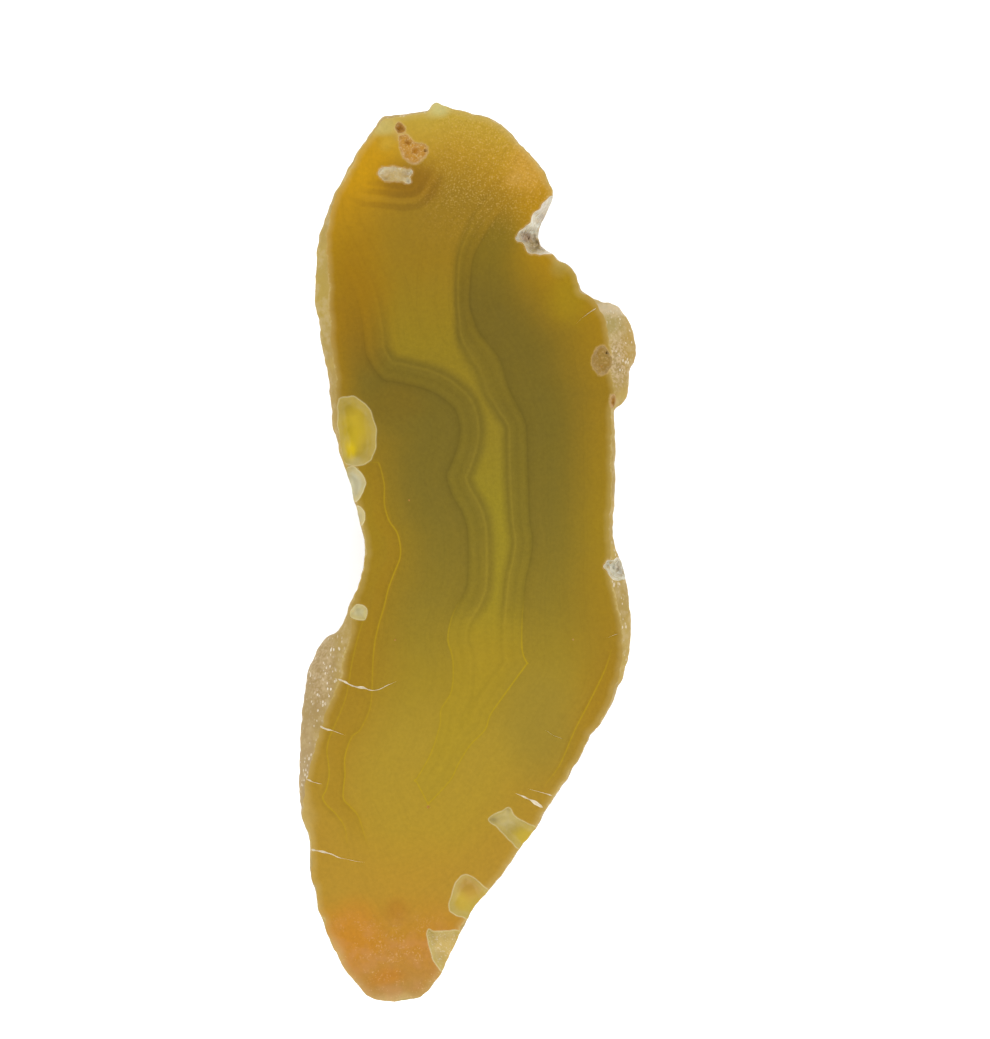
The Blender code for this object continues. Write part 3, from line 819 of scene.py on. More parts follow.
def shoulder_rings(widest, edge, heights, shape):
    """Rings from the sawn edge, outwards and down to the widest line.

    The skin's relief is less where the strip is narrow, and near the sawn edge.
    """
    rings = []
    widest_share = 1 - math.cos(shape.shoulder_angle)
    for k in range(shape.shoulder_rings):
        angle = shape.shoulder_angle * (1 - k / shape.shoulder_rings)
        inwards = (1 - math.cos(angle)) / widest_share
        up = math.sin(angle) / math.sin(shape.shoulder_angle)
        plan = widest[:, :2] + (edge - widest[:, :2]) * inwards
        level = heights + (shape.thickness - heights) * up
        relief = uneven(np.column_stack([plan, level]), SKIN_RELIEF)
        wide = np.minimum(widest[:, 2] / (0.8 * MM), 1.0)
        low = np.minimum((shape.thickness - level) / (0.7 * MM), 1.0)
        level = level + relief * wide * low
        rings.append(np.column_stack([plan, np.minimum(level, shape.thickness)]))
    return rings


def widest_heights(widest, shape):
    """Height of the widest line: lower where more of the skin shows."""
    return shape.thickness - shape.widest_drop - shape.drop_per_skin * widest[:, 2]


def back_height(plan, outline, shape):
    """Height of the back under points of the plan, a thousand points at a time."""
    rims = widest_heights(outline, shape)
    heights = []
    for first in range(0, len(plan), 1000):
        some = plan[first:first + 1000]
        pull = pull_of(some, outline)
        total = pull.sum(axis=1)
        share = np.minimum(np.sqrt(2 / total) / shape.deepest_distance, 1.0)
        bowl = (1 - (1 - share) ** shape.back_fullness) ** (1 / shape.back_fullness)
        along = (some[:, 1] - BACK_MIDDLE) / (shape.length / 2)
        depth = shape.back_depth * bowl * (1 - shape.end_thinning * along**2)
        start = pull @ rims / total
        middle = shape.thickness - shape.widest_drop
        heights.append(start + (middle - start) * share - depth)
    return np.maximum(np.concatenate(heights), 0.0)


def with_lumps(points, shape):
    """Points of the back pushed up and down: broad lumps, and fine relief above the flat spot."""
    rise = np.clip(points[:, 2] / (shape.thickness - shape.widest_drop), 0, 1)
    lumps = shape.lump_height * waves(points, shape.lump_spacing)
    lumps += shape.knuckle_height * waves(points, shape.knuckle_spacing)
    push = lumps * LUMP_FADE * rise * (1 - rise) ** 2
    push -= np.minimum(points[:, 2] / (0.4 * MM), 1.0) * uneven(points, SKIN_RELIEF)
    raised = np.maximum(points[:, 2] - push, 0.0)
    return np.column_stack([points[:, :2], raised])


def steep_rings(widest, heights, outline, shape):
    """Rings from the widest line, inwards and down the steep side."""
    rings = [np.column_stack([widest[:, :2], heights])]
    inwards = inwards_from_edge(shape)
    for k in range(1, shape.steep_rings + 1):
        reach = shape.steep_width * (1 - math.cos(math.pi / 2 * k / shape.steep_rings))
        plan = widest[:, :2] + inwards * reach
        level = np.minimum(back_height(plan, outline, shape), heights)
        lumpy = with_lumps(np.column_stack([plan, level]), shape)
        share = k / shape.steep_rings
        lumpy[:, 2] = np.minimum(level + (lumpy[:, 2] - level) * share, rings[-1][:, 2])
        rings.append(lumpy)
    return rings


def filled(outline, spacing):
    """Small, even triangles inside an outline, in the plane.

    Gives the points, the corners of each triangle, anticlockwise, and for each point the outline
    point that it is, or none.
    """
    row_height = spacing * math.sqrt(0.75)
    low, high = outline.min(axis=0), outline.max(axis=0)
    rows = []
    for row in range(int((high[1] - low[1]) / row_height)):
        across = np.arange(low[0] + (row % 2) * spacing / 2, high[0], spacing)
        rows.append(np.column_stack([across, np.full(len(across), low[1] + row * row_height)]))
    grid = np.concatenate(rows)
    grid = grid[inside(grid, outline)]
    gap, _ = measure(grid, outline, closed=True)
    grid = grid[np.abs(gap) > OUTLINE_CLEARANCE * spacing]
    flat = [Vector(p) for p in np.concatenate([outline, grid]) / MM]
    ring = list(range(len(outline)))
    places, _, faces, sources, _, _ = delaunay_2d_cdt(flat, [], [ring], 1, 1e-6)
    plan = np.array([tuple(place) for place in places]) * MM
    on_outline = [source[0] if source and source[0] < len(outline) else None for source in sources]
    return plan, faces, on_outline


def cover(mesh, rim, height_of, spacing, finish):
    """Cover what lies inside a ring of vertices with even triangles, at heights from a function."""
    outline = np.array([tuple(vertex.co.xy) for vertex in rim])
    plan, faces, on_outline = filled(outline, spacing)
    points = height_of(plan)
    made = []
    for point, source in zip(points, on_outline):
        made.append(mesh.verts.new(point) if source is None else rim[source])
    for corners in faces:
        face = mesh.faces.new([made[i] for i in corners])
        face.material_index = finish


def stone_mesh(shape):
    """The whole stone before its hollows are cut."""
    widest = widest_curve(shape)
    outline = fitted_to_size(closed_curve(WIDEST_LINE, PLAN_STEPS), shape)
    heights = widest_heights(widest, shape)
    rings = shoulder_rings(widest, sawn_edge(widest, shape), heights, shape)
    rings += steep_rings(widest, heights, outline, shape)
    mesh = bmesh.new()
    loops = [[mesh.verts.new(point) for point in ring] for ring in rings]
    count = len(widest)
    for upper, lower in zip(loops, loops[1:]):
        for i in range(count):
            j = (i + 1) % count
            face = mesh.faces.new((upper[i], upper[j], lower[j], lower[i]))
            face.material_index = SKIN

    def back_points(plan):
        """Points of the back over the plan."""
        flat = np.column_stack([plan, back_height(plan, outline, shape)])
        return with_lumps(flat, shape)

    cover(mesh, loops[0], lambda plan: on_face(plan, shape), shape.face_spacing, SAWN)
    cover(mesh, loops[-1], back_points, shape.back_spacing, SKIN)
    bmesh.ops.recalc_face_normals(mesh, faces=mesh.faces)
    return mesh


def flake_relief(points, deepest):
    """Ripples that spread from the point where a flake was struck off, and fine steps."""
    away = np.hypot(points[:, 0] - deepest[0], points[:, 1] - deepest[1])
    ripple = RIPPLE_HEIGHT * np.sin(away / RIPPLE_SPACING + 2.5 * waves(points, 2.2 * MM, 7.0))
    return ripple + uneven(points, FLAKE_ROUGHNESS)


def crystal_relief(points, _):
    """Grains of quartz: small blunt cones, packed side by side, the same at any depth."""
    heights = []
    for point in points:
        near, _ = noise.voronoi(Vector(point) / GRAIN_SIZE, distance_metric="MANHATTAN")
        heights.append(GRAIN_HEIGHT * (0.6 - min(near[0], 0.9)))
    return np.array(heights) + uneven(points, GRAIN_LEVELS)


# For each kind of break: its relief, its finish, and the height of the step at its rim and how
# far the rim strays, in millimetres.
BREAKS = {
    "flake": (flake_relief, FLAKE, 0.05, 0.1),
    "crystals": (crystal_relief, CRYSTALS, 0.08, 0.3),
    "pit": (crystal_relief, PIT, 0.06, 0.2),
}


def hollow_rim(kind, corners, shape):
    """The rim of a hollow, anticlockwise: straight stretches, rounded and strayed a little."""
    stray = BREAKS[kind][3]
    corners = np.array(corners) * MM
    later = np.roll(corners, -1, axis=0)
    if (corners[:, 0] * later[:, 1] - later[:, 0] * corners[:, 1]).sum() < 0:
        corners = corners[::-1]
    line = []
    for start, end in zip(corners, np.roll(corners, -1, axis=0)):
        count = max(2, round(np.linalg.norm(end - start) / RIM_SPACING))
        line += [start + (end - start) * k / count for k in range(count)]
    line = np.array(line)
    for _ in range(2):
        line = (np.roll(line, 1, axis=0) + 2 * line + np.roll(line, -1, axis=0)) / 4
    wobble = stray * MM * waves(on_face(line, shape), 0.6 * MM, 6.0)
    return line + inwards_along(line) * wobble[:, None]


def cutter_from(rim, plan, heights, faces, on_rim, finish, shape):
    """A closed cutter: a flat top over the rim, a low wall, and the underside below."""
    mesh = bmesh.new()
    top = [mesh.verts.new((*place, shape.thickness + CUTTER_LIFT)) for place in rim]
    below = [mesh.verts.new((*place, height)) for place, height in zip(plan, heights)]
    foot = {source: below[i] for i, source in enumerate(on_rim) if source is not None}
    mesh.faces.new(top)
    for i in range(len(top)):
        j = (i + 1) % len(top)
        mesh.faces.new((foot[i], foot[j], top[j], top[i]))
    for corners in faces:
        mesh.faces.new([below[i] for i in reversed(corners)])
    for face in mesh.faces:
        face.material_index = finish
    return mesh


def hollow_cutter(kind, deepest, depth, corners, shape):
    """A cutter with a rippled or grainy underside for one hollow."""
    relief, finish, step, _ = BREAKS[kind]
    rim = hollow_rim(kind, corners, shape)
    plan, faces, on_rim = filled(rim, RIM_SPACING)
    centre = np.array(deepest) * MM
    farthest = distance_inside(centre[None, :], rim)[0]
    inner = np.array([source is None for source in on_rim])
    away = np.zeros(len(plan))
    away[inner] = distance_inside(plan[inner], rim)
    fall = 1 - np.minimum(away / farthest, 1.0)
    bowl = (depth - step) * MM
    heights = shape.thickness - step * MM - bowl * (1 - fall**2)
    slope = np.minimum(2 * bowl * fall / farthest, STEEPEST)
    fade = np.minimum(away / (0.3 * MM), 1.0)
    places = np.column_stack([plan, heights])
    heights += relief(places, centre) * np.hypot(1, slope) * fade
    heights = np.minimum(heights, shape.thickness - 0.3 * step * MM)
    return cutter_from(rim, plan, heights, faces, on_rim, finish, shape)


def pinhole_cutter(centre, radius, depth, shape):
    """A cutter for a small uneven hole."""
    turns = np.linspace(0, 2 * math.pi, PINHOLE_CORNERS, endpoint=False)
    ring = np.column_stack([np.cos(turns), np.sin(turns)]) * radius * MM
    spot = np.array(centre) * MM
    ring *= 1 + 0.6 * waves(on_face(spot + ring, shape), 0.3 * MM, 8.0)[:, None]
    rim = spot + ring
    plan, faces, on_rim = filled(rim, 0.4 * radius * MM)
    away = np.linalg.norm(plan - spot, axis=1) / (radius * MM)
    sunk = np.where([source is None for source in on_rim], 1 - 0.6 * away**2, 0.3)
    heights = shape.thickness - depth * MM * sunk
    return cutter_from(rim, plan, heights, faces, on_rim, PIT, shape)


def crack_cutter(line, width, depth, shape):
    """A cutter for a crack: a wedge that thins out from its wide end."""
    path = open_curve(line, LINE_STEPS) * MM
    along = np.gradient(path, axis=0)
    across = np.column_stack([-along[:, 1], along[:, 0]])
    across /= np.linalg.norm(across, axis=1)[:, None]
    places = on_face(path, shape)
    path = path + across * uneven(places, CRACK_STRAYS)[:, None]
    share = np.linspace(0, 1, len(path))
    taper = (1 - 0.8 * share) * np.minimum(0.25 + 6 * share, 1)
    taper *= np.minimum(0.2 + 6 * (1 - share), 1)
    taper *= 1 + 0.9 * waves(places, 0.5 * MM, 19.0)
    mesh = bmesh.new()
    sections = []
    for spot, side, size in zip(path, across, taper):
        half = side * width * MM * size / 2
        high, low = shape.thickness + CRACK_LIFT, shape.thickness - depth * MM * size
        corners = [(*(spot - half), high), (*(spot + half), high), (*spot, low)]
        sections.append([mesh.verts.new(c) for c in corners])
    for first, second in zip(sections, sections[1:]):
        for i in range(3):
            j = (i + 1) % 3
            mesh.faces.new((second[i], second[j], first[j], first[i]))
    mesh.faces.new(sections[0])
    mesh.faces.new(sections[-1][::-1])
    for face in mesh.faces:
        face.material_index = FROST
    return mesh


def object_from(mesh, name, collection):
    """Link a finished mesh to a collection as an object."""
    data = bpy.data.meshes.new(name)
    mesh.to_mesh(data)
    mesh.free()
    made = bpy.data.objects.new(name, data)
    collection.objects.link(made)
    return made


def cut_hollows(stone, shape):
    """Take the hollows, pinholes and cracks out of the stone, and drop the cutters."""
    cutters = bpy.data.collections.new("cutters")
    bpy.context.scene.collection.children.link(cutters)
    meshes = [hollow_cutter(*hollow, shape) for hollow in HOLLOWS.values()]
    meshes += [pinhole_cutter(*pinhole, shape) for pinhole in PINHOLES]
    meshes += [crack_cutter(*crack, shape) for crack in CRACKS.values()]
    for mesh in meshes:
        cutter = object_from(mesh, "cutter", cutters)
        for material in stone.data.materials:
            cutter.data.materials.append(material)
    cut = stone.modifiers.new("hollows", "BOOLEAN")
    cut.operation = "DIFFERENCE"
    cut.solver = "EXACT"
    cut.operand_type = "COLLECTION"
    cut.collection = cutters
    graph = bpy.context.evaluated_depsgraph_get()
    carved = bpy.data.meshes.new_from_object(stone.evaluated_get(graph))
    stone.modifiers.clear()
    whole = stone.data
    stone.data = carved
    bpy.data.meshes.remove(whole)
    for cutter in list(cutters.objects):
        bpy.data.objects.remove(cutter)
    bpy.data.collections.remove(cutters)


def store(mesh, name, values):
    """Keep one number for each point of the mesh, for the materials to read."""
    layer = mesh.attributes.new(name, "FLOAT", "POINT")
    layer.data.foreach_set("value", values.astype(np.float32))


def measure_surface(stone, shape):
    """Store how far each point is from the edges, bands and veins, in millimetres."""
    mesh = stone.data
    points = np.zeros(len(mesh.vertices) * 3)
    mesh.vertices.foreach_get("co", points)
    points = points.reshape(-1, 3) / MM
    plan = points[:, :2]
    top = points[:, 2] > shape.thickness / MM - MEASURED_DEPTH
    upper = plan[top]

    def fill(values, rest):
        """The values for the upper points, and one number for the rest."""
        whole = np.full(len(points), float(rest))
        whole[top] = values
        return whole

    edge_line = sawn_edge(widest_curve(shape), shape) / MM
    edge, _ = measure(upper, edge_line, closed=True)
    edge = np.abs(edge)
    store(mesh, "edge", fill(edge, 0.0))

    band_line = closed_curve(BAND, BAND_STEPS)
    band, carried = measure(upper, band_line, closed=True)
    band = np.where(inside(upper, band_line), -1.0, 1.0) * np.abs(band)
    spaced = band / np.maximum(carried[:, 0], 0.3)
    store(mesh, "band", fill(spaced, FAR))
    store(mesh, "band_strength", fill(np.clip(carried[:, 1], 0, 1), 0.0))
    wall = edge / np.maximum(edge + np.abs(band), 0.01)
    layers = np.where(band > 0, wall * WALL_LAYERS, WALL_LAYERS - band)
    store(mesh, "wall", fill(np.where(band > 0, wall, 1.0), 0.0))
    store(mesh, "layers", fill(layers, 0.0))

    strength = np.zeros(len(upper))
    for name, vein in VEINS.items():
        gap, carried = measure(upper, open_curve(vein, LINE_STEPS))
        store(mesh, name, fill(gap, FAR))
        near = np.abs(gap) < VEIN_REACH
        strength[near] = np.maximum(strength, carried[:, 0])[near]
    store(mesh, "vein_strength", fill(strength, 0.0))
    arc, carried = measure(upper, open_curve(PIT_ARC, LINE_STEPS))
    store(mesh, "pit_arc", fill(arc, FAR))
    store(mesh, "pit_arc_strength", fill(carried[:, 0], 0.0))

    rim = np.full(len(upper), FAR)
    rough_rim = np.full(len(upper), FAR)
    for kind, _, _, corners in HOLLOWS.values():
        gap, _ = measure(upper, hollow_rim(kind, corners, shape) / MM, closed=True)
        target = rim if kind == "flake" else rough_rim
        np.minimum(target, np.abs(gap), out=target)
    store(mesh, "flake_rim", fill(rim, FAR))
    store(mesh, "pit_rim", fill(rough_rim, FAR))


class Tree:
    """Builds a material's node tree from short calls."""

    def __init__(self, name):
        self.material = bpy.data.materials.new(name)
        self.material.use_nodes = True
        self.nodes = self.material.node_tree.nodes
        self.links = self.material.node_tree.links
        self.shader = self.nodes["Principled BSDF"]

    def plug(self, value, target):
        """Feed a socket from another socket, a number or a colour."""
        if isinstance(value, bpy.types.NodeSocket):
            self.links.new(value, target)
        elif hasattr(value, "__len__") and target.type == "RGBA":
            target.default_value = (*value[:3], 1.0)
        else:
            target.default_value = value

    def node(self, kind, inputs=None, **settings):
        """Add a node of this kind with these settings, and feed its inputs."""
        node = self.nodes.new("ShaderNode" + kind)
        for name, setting in settings.items():
            setattr(node, name, setting)
        for label, value in (inputs or {}).items():
            self.plug(value, node.inputs[label])
        return node

    def millimetres(self):
        """The place on the stone, in millimetres."""
        place = self.node("TexCoord").outputs["Object"]
        return self.node("VectorMath", {0: place, "Scale": 1 / MM}, operation="SCALE").outputs[0]

    def axes(self, place):
        """The place's X, Y and Z."""
        return self.node("SeparateXYZ", {0: place}).outputs

    def vector(self, operation, a, b=(0.0, 0.0, 0.0)):
        """One step of arithmetic with vectors."""
        node = self.node("VectorMath", {0: a, 1: b}, operation=operation)
        return node.outputs["Value" if operation == "LENGTH" else "Vector"]

    def math(self, operation, a, b=0.0):
        """One step of arithmetic with numbers."""
        return self.node("Math", {0: a, 1: b}, operation=operation).outputs[0]

    def scaled(self, value, factor, offset):
        """The value times the factor, plus the offset."""
        inputs = {0: value, 1: factor, 2: offset}
        return self.node("Math", inputs, operation="MULTIPLY_ADD").outputs[0]

    def times(self, *factors):
        """The product of several numbers."""
        total = factors[0]
        for factor in factors[1:]:
            total = self.math("MULTIPLY", total, factor)
        return total

    def frayed(self, value, ragged, reach):
        """A distance made uneven: the value plus a share of a ragged one."""
        return self.math("ADD", value, self.math("MULTIPLY", ragged, reach))

    def span(self, value, low, high, start=0.0, end=1.0, change="SMOOTHSTEP"):
        """A change from start to end as the value goes from low to high."""
        inputs = {"Value": value, "From Min": low, "From Max": high, "To Min": start, "To Max": end}
        return self.node("MapRange", inputs, interpolation_type=change).outputs["Result"]

    def line(self, value, middle, half_width, soft):
        """1 where the value is near the middle, fading to 0 beyond the half width."""
        away = self.math("ABSOLUTE", self.math("SUBTRACT", value, middle))
        return self.span(away, half_width, half_width + soft, 1.0, 0.0)

    def mix(self, share, under, over, blend="MIX"):
        """One colour over another, by a share from 0 to 1."""
        inputs = {0: share, 6: under, 7: over}
        return self.node("Mix", inputs, data_type="RGBA", blend_type=blend).outputs[2]

    def shaded(self, colour, tone, tint=(1, 1, 1)):
        """The colour made darker by a tone from 0 to 1, and tinted."""
        return self.mix(1.0, colour, self.mix(tone, (0, 0, 0), tint), "MULTIPLY")

    def ramp(self, value, stops):
        """A colour ramp with these stops: place and colour."""
        node = self.node("ValToRGB", {0: value})
        elements = node.color_ramp.elements
        while len(elements) > 1:
            elements.remove(elements[-1])
        for k, (place, colour) in enumerate(stops):
            element = elements[0] if k == 0 else elements.new(place)
            element.position = place
            element.color = (*colour, 1.0)
        return node.outputs[0]

    def stored(self, name):
        """A number that the mesh keeps for each point."""
        return self.node("Attribute", attribute_name=name).outputs["Fac"]

    def noise(self, place, spacing, detail=2.0, roughness=0.5):
        """Smooth noise from 0 to 1 with this spacing, in millimetres."""
        inputs = {"Vector": place, "Scale": 1 / spacing, "Detail": detail, "Roughness": roughness}
        return self.node("TexNoise", inputs).outputs["Fac"]

    def layered(self, value, spacing, detail):
        """Noise that changes only with one value: layers."""
        inputs = {"W": value, "Scale": 1 / spacing, "Detail": detail}
        return self.node("TexNoise", inputs, noise_dimensions="1D").outputs["Fac"]

    def cells(self, place, spacing):
        """A texture of cells this far apart, in millimetres."""
        return self.node("TexVoronoi", {"Vector": place, "Scale": 1 / spacing}).outputs

    def warped(self, place, spacing, reach):
        """The place, pushed about by noise."""
        push = self.node("TexNoise", {"Vector": place, "Scale": 1 / spacing}).outputs["Color"]
        centred = self.vector("SUBTRACT", push, (0.5, 0.5, 0.5))
        return self.vector("ADD", place, self.vector("MULTIPLY", centred, (reach, reach, reach)))

    def spot(self, place, centre, half_sizes, inner, strength):
        """The strength in the inner share of a soft round spot, fading to 0 a little outside it."""
        shifted = self.vector("SUBTRACT", place, (*centre, 0.0))
        squashed = self.vector("MULTIPLY", shifted, (1 / half_sizes[0], 1 / half_sizes[1], 0.0))
        return self.span(self.vector("LENGTH", squashed), inner, 1.25, strength, 0.0)

    def stains(self, colour, place, stains):
        """Lay soft stains over a colour."""
        for centre, half_sizes, strength, code in stains.values():
            share = self.spot(place, centre, half_sizes, 0.25, strength)
            colour = self.mix(share, colour, linear(code))
        return colour

    def cover(self, place, zones):
        """How strongly any of these soft zones covers the place."""
        total = 0.0
        for centre, half_sizes, strength in zones.values():
            share = self.spot(place, centre, half_sizes, 0.5, strength)
            total = self.math("MAXIMUM", total, share)
        return total

    def bump(self, height, distance, strength):
        """Feed the shader's normal from a height; the distance is in millimetres."""
        inputs = {"Strength": strength, "Distance": distance * MM, "Height": height}
        self.plug(self.node("Bump", inputs).outputs["Normal"], self.shader.inputs["Normal"])

    def finish(self, colour, roughness, subsurface=0.0):
        """Set the shader's colour and gloss, with a little light let through."""
        for label, value in {
            "Base Color": colour, "Roughness": roughness, "IOR": AGATE_IOR,
            "Specular IOR Level": DULL_GLOSS, "Subsurface Weight": subsurface,
            "Subsurface Radius": GLOW_COLOUR, "Subsurface Scale": GLOW_REACH,
        }.items():
            self.plug(value, self.shader.inputs[label])
        return self.material


def grey(tone):
    """A grey that stands for a brightness from 0 to 2."""
    return (tone / 2, tone / 2, tone / 2)


def base_colours(tree, y, banded):
    """The outer wall, the heart just outside the dark band and the core inside it. The amber
    towards the edge is partly the wall's own colour and partly painted light let in through the
    sides.
    """
    along = tree.scaled(y, 1 / COLOURED_LENGTH, 0.5)
    outer, heart, core = (
        tree.ramp(along, [(mm / COLOURED_LENGTH + 0.5, linear(code)) for mm, code in colours])
        for colours in (OUTER_COLOURS, HEART_COLOURS, CORE_COLOURS)
    )
    band = tree.stored("band")
    # Both blends turn amber towards the edge: partly the outer wall's own colour, partly painted
    # light let in through the sides.
    walls = tree.mix(tree.span(tree.stored("wall"), 0.0, 0.75), outer, heart)
    middle = tree.mix(tree.span(tree.stored("edge"), 0.5, 7.0), outer, core)
    margin = tree.times(tree.span(band, -2.9, -1.7), banded, 0.75)
    middle = tree.mix(margin, middle, heart)
    shows = tree.span(tree.stored("band_strength"), 0.1, 0.6)
    return tree.mix(tree.times(tree.span(band, -0.3, 0.3), shows), middle, walls)


def amber_walls(tree, colour, look):
    """Amber just beyond the yellow veins."""
    veins = tree.stored("vein_strength")
    for name, outwards in (("vein_inner", -1.0), ("vein_right", 1.0)):
        gap = tree.math("MULTIPLY", tree.stored(name), outwards)
        beyond = tree.times(tree.span(gap, -0.4, 0.1), tree.span(gap, 0.3, 2.4, 0.4, 0.0))
        colour = tree.mix(tree.times(beyond, veins), colour, look.amber)
    return colour


def growth_layers(tree, colour):
    """Fine and broad layers, from the edge to the core."""
    layers = tree.stored("layers")
    for spacing, detail, contrast, darkest in ((0.16, 2.0, 0.13, 0.935), (0.7, 1.0, 0.1, 0.95)):
        tone = tree.scaled(tree.layered(layers, spacing, detail), contrast, darkest)
        colour = tree.shaded(colour, tone)
    return colour


def dark_band(tree, colour, banded, low_down, look):
    """The layers of the dark band, which turns into a bright line low down."""
    band = tree.stored("band")
    first, last = BAND_TONES[0][0], BAND_TONES[-1][0]
    across = tree.span(band, first, last, change="LINEAR")
    stops = [((mm - first) / (last - first), grey(tone)) for mm, tone in BAND_TONES]
    tones = tree.mix(banded, grey(1.0), tree.ramp(across, stops))
    colour = tree.mix(1.0, colour, tree.mix(1.0, tones, (2, 2, 2), "MULTIPLY"), "MULTIPLY")
    bright = tree.times(tree.line(band, 0.0, 0.0, 0.13), tree.stored("band_strength"), low_down)
    return tree.mix(tree.times(bright, 0.8), colour, look.vein)


def yellow_veins(tree, colour, look):
    """The thin yellow veins, each with a faint shade beside it."""
    veins = tree.stored("vein_strength")
    for name in VEINS:
        gap = tree.stored(name)
        bright = tree.times(tree.line(gap, 0.0, 0.0, 0.11), veins, 0.6)
        colour = tree.mix(bright, colour, look.vein)
        shade = tree.times(tree.line(gap, -0.2, 0.05, 0.18), veins, 0.12)
        colour = tree.mix(shade, colour, (0.1, 0.06, 0.0))
    return colour


def pit_arcs(tree, colour):
    """Dark and pale lines that curve round the pits at the top end."""
    arc = tree.stored("pit_arc")
    shows = tree.stored("pit_arc_strength")
    for middle, half_width, soft, strength, code in PIT_ARC_LINES:
        mask = tree.times(tree.line(arc, middle, half_width, soft), shows, strength)
        colour = tree.mix(mask, colour, linear(code))
    return colour


def end_speckles(tree, colour, place, x, y):
    """Fine speckles near the top end, and flecks and a haze at the tip."""
    fine = tree.noise(place, 0.16, 2.0, 0.6)
    speckled = tree.times(tree.span(y, 26.0, 33.0), tree.span(x, -6.0, 1.0))
    shade = tree.times(tree.span(fine, 0.46, 0.3), speckled, 0.3)
    colour = tree.mix(shade, colour, linear("8a6224"))
    flecks = tree.times(tree.span(fine, 0.52, 0.7), speckled, 0.5)
    colour = tree.mix(flecks, colour, linear("d3ad62"))
    tip = tree.span(y, -31.0, -36.0)
    sparse = tree.times(fine, tree.span(tree.noise(place, 0.9, 2.0), 0.4, 0.6, 0.8, 1.05))
    flecks = tree.times(tree.span(sparse, 0.56, 0.72), tip, 0.45)
    colour = tree.mix(flecks, colour, linear("dcb57e"))
    haze = tree.times(tree.span(tree.noise(place, 1.6, 3.0), 0.4, 0.7), tip, 0.35)
    return tree.mix(haze, colour, linear("c28c5c"))


def rims_and_edge_highlight(tree, colour, place, grain, look):
    """Frost and a painted highlight along the sawn edge, and the bruised rims of pits and flakes.
    """
    edge = tree.stored("edge")
    ragged = tree.frayed(tree.frayed(edge, grain, 0.5), tree.noise(place, 5.0), 0.9)
    colour = tree.mix(tree.span(ragged, 0.5, 0.85, 0.6, 0.0), colour, look.edge_frost_and_highlight)
    # Painted highlight: a soft pale band along the sawn edge, standing in for light that glows in
    # through it.
    colour = tree.mix(tree.span(edge, 0.05, 0.7, 0.22, 0.0), colour, look.edge_frost_and_highlight)
    pits = tree.frayed(tree.stored("pit_rim"), grain, 0.4)
    colour = tree.mix(tree.span(pits, 0.2, 0.4, 0.4, 0.0), colour, linear("cfb07e"))
    flakes = tree.stored("flake_rim")
    return tree.mix(tree.span(flakes, 0.02, 0.1, 0.35, 0.0), colour, linear("d8cc9c"))


def sawn_agate(look):
    """The sawn face: banded chalcedony, matt from the saw."""
    tree = Tree("sawn_agate")
    place = tree.millimetres()
    warped = tree.warped(place, 5.0, 2.2)
    x, y, _ = tree.axes(warped)
    low_down = tree.span(y, -9.0, -3.0, 1.0, 0.0)
    banded = tree.times(tree.stored("band_strength"), tree.span(low_down, 0.0, 1.0, 1.0, 0.35))
    colour = tree.stains(base_colours(tree, y, banded), warped, FACE_STAINS)
    colour = growth_layers(tree, amber_walls(tree, colour, look))
    colour = dark_band(tree, colour, banded, low_down, look)
    colour = pit_arcs(tree, yellow_veins(tree, colour, look))
    grain = tree.noise(place, 0.28, 3.0, 0.6)
    colour = tree.shaded(colour, tree.scaled(grain, 0.3, 0.79), look.stone_tint)
    colour = end_speckles(tree, colour, place, x, y)
    colour = rims_and_edge_highlight(tree, colour, place, grain, look)
    roughness = tree.scaled(tree.noise(place, 1.2, 3.0), 0.14, 0.32)
    tree.bump(tree.noise(place, 0.12, 3.0, 0.65), 0.02, 0.35)
    return tree.finish(colour, roughness)


def natural_skin(look):
    """The natural skin: pale and smooth at the sawn edge, crusted with white specks elsewhere."""
    tree = Tree("natural_skin")
    place = tree.millimetres()
    _, _, z = tree.axes(place)
    below = tree.span(z, FACE_LEVEL - 1.6, FACE_LEVEL - 4.0)
    patches = tree.noise(place, 4.5, 3.0, 0.6)
    uncovered = tree.span(below, 0.0, 1.0, 0.3, 1.0)
    darker = tree.times(tree.span(patches, 0.42, 0.6, 1.0, 0.0), uncovered)
    colour = tree.mix(darker, look.skin, look.skin_dark)
    colour = tree.stains(colour, tree.warped(place, 2.0, 1.0), SKIN_STAINS)
    cloudy = tree.span(tree.noise(place, 1.1, 4.0, 0.6), 0.45, 0.68, 0.0, 0.4)
    colour = tree.mix(cloudy, colour, linear("c4b084"))
    colour = tree.mix(tree.times(below, 0.6), colour, linear("9f8558"))

    crusted = tree.math("MAXIMUM", tree.times(below, 0.5), tree.cover(place, CRUSTED))
    stretched = tree.vector("MULTIPLY", place, (1.7, 1.0, 1.3))
    away = tree.frayed(tree.cells(stretched, 0.5)["Distance"], tree.noise(place, 0.6, 2.0), -0.5)
    specks = tree.span(away, -0.06, 0.08, 0.85, 0.0)
    clusters = tree.span(tree.noise(place, 1.3, 2.0), 0.42, 0.58, 0.15, 1.0)
    colour = tree.mix(tree.times(specks, clusters, crusted), colour, look.skin_speck)
    sugar = tree.span(tree.noise(place, 0.24, 3.0, 0.6), 0.44, 0.6, 0.0, 0.65)
    colour = tree.mix(tree.times(sugar, tree.cover(place, SUGARED)), colour, linear("cdb48c"))
    pores = tree.span(tree.cells(place, 0.9)["Distance"], 0.1, 0.25, 0.35, 0.0)
    colour = tree.mix(tree.times(pores, below), colour, linear("7d6432"))
    tree.bump(tree.frayed(tree.noise(place, 0.45, 4.0, 0.65), pores, -0.6), 0.1, 0.6)
    return tree.finish(colour, tree.span(patches, 0.3, 0.7, 0.45, 0.65), 0.1)


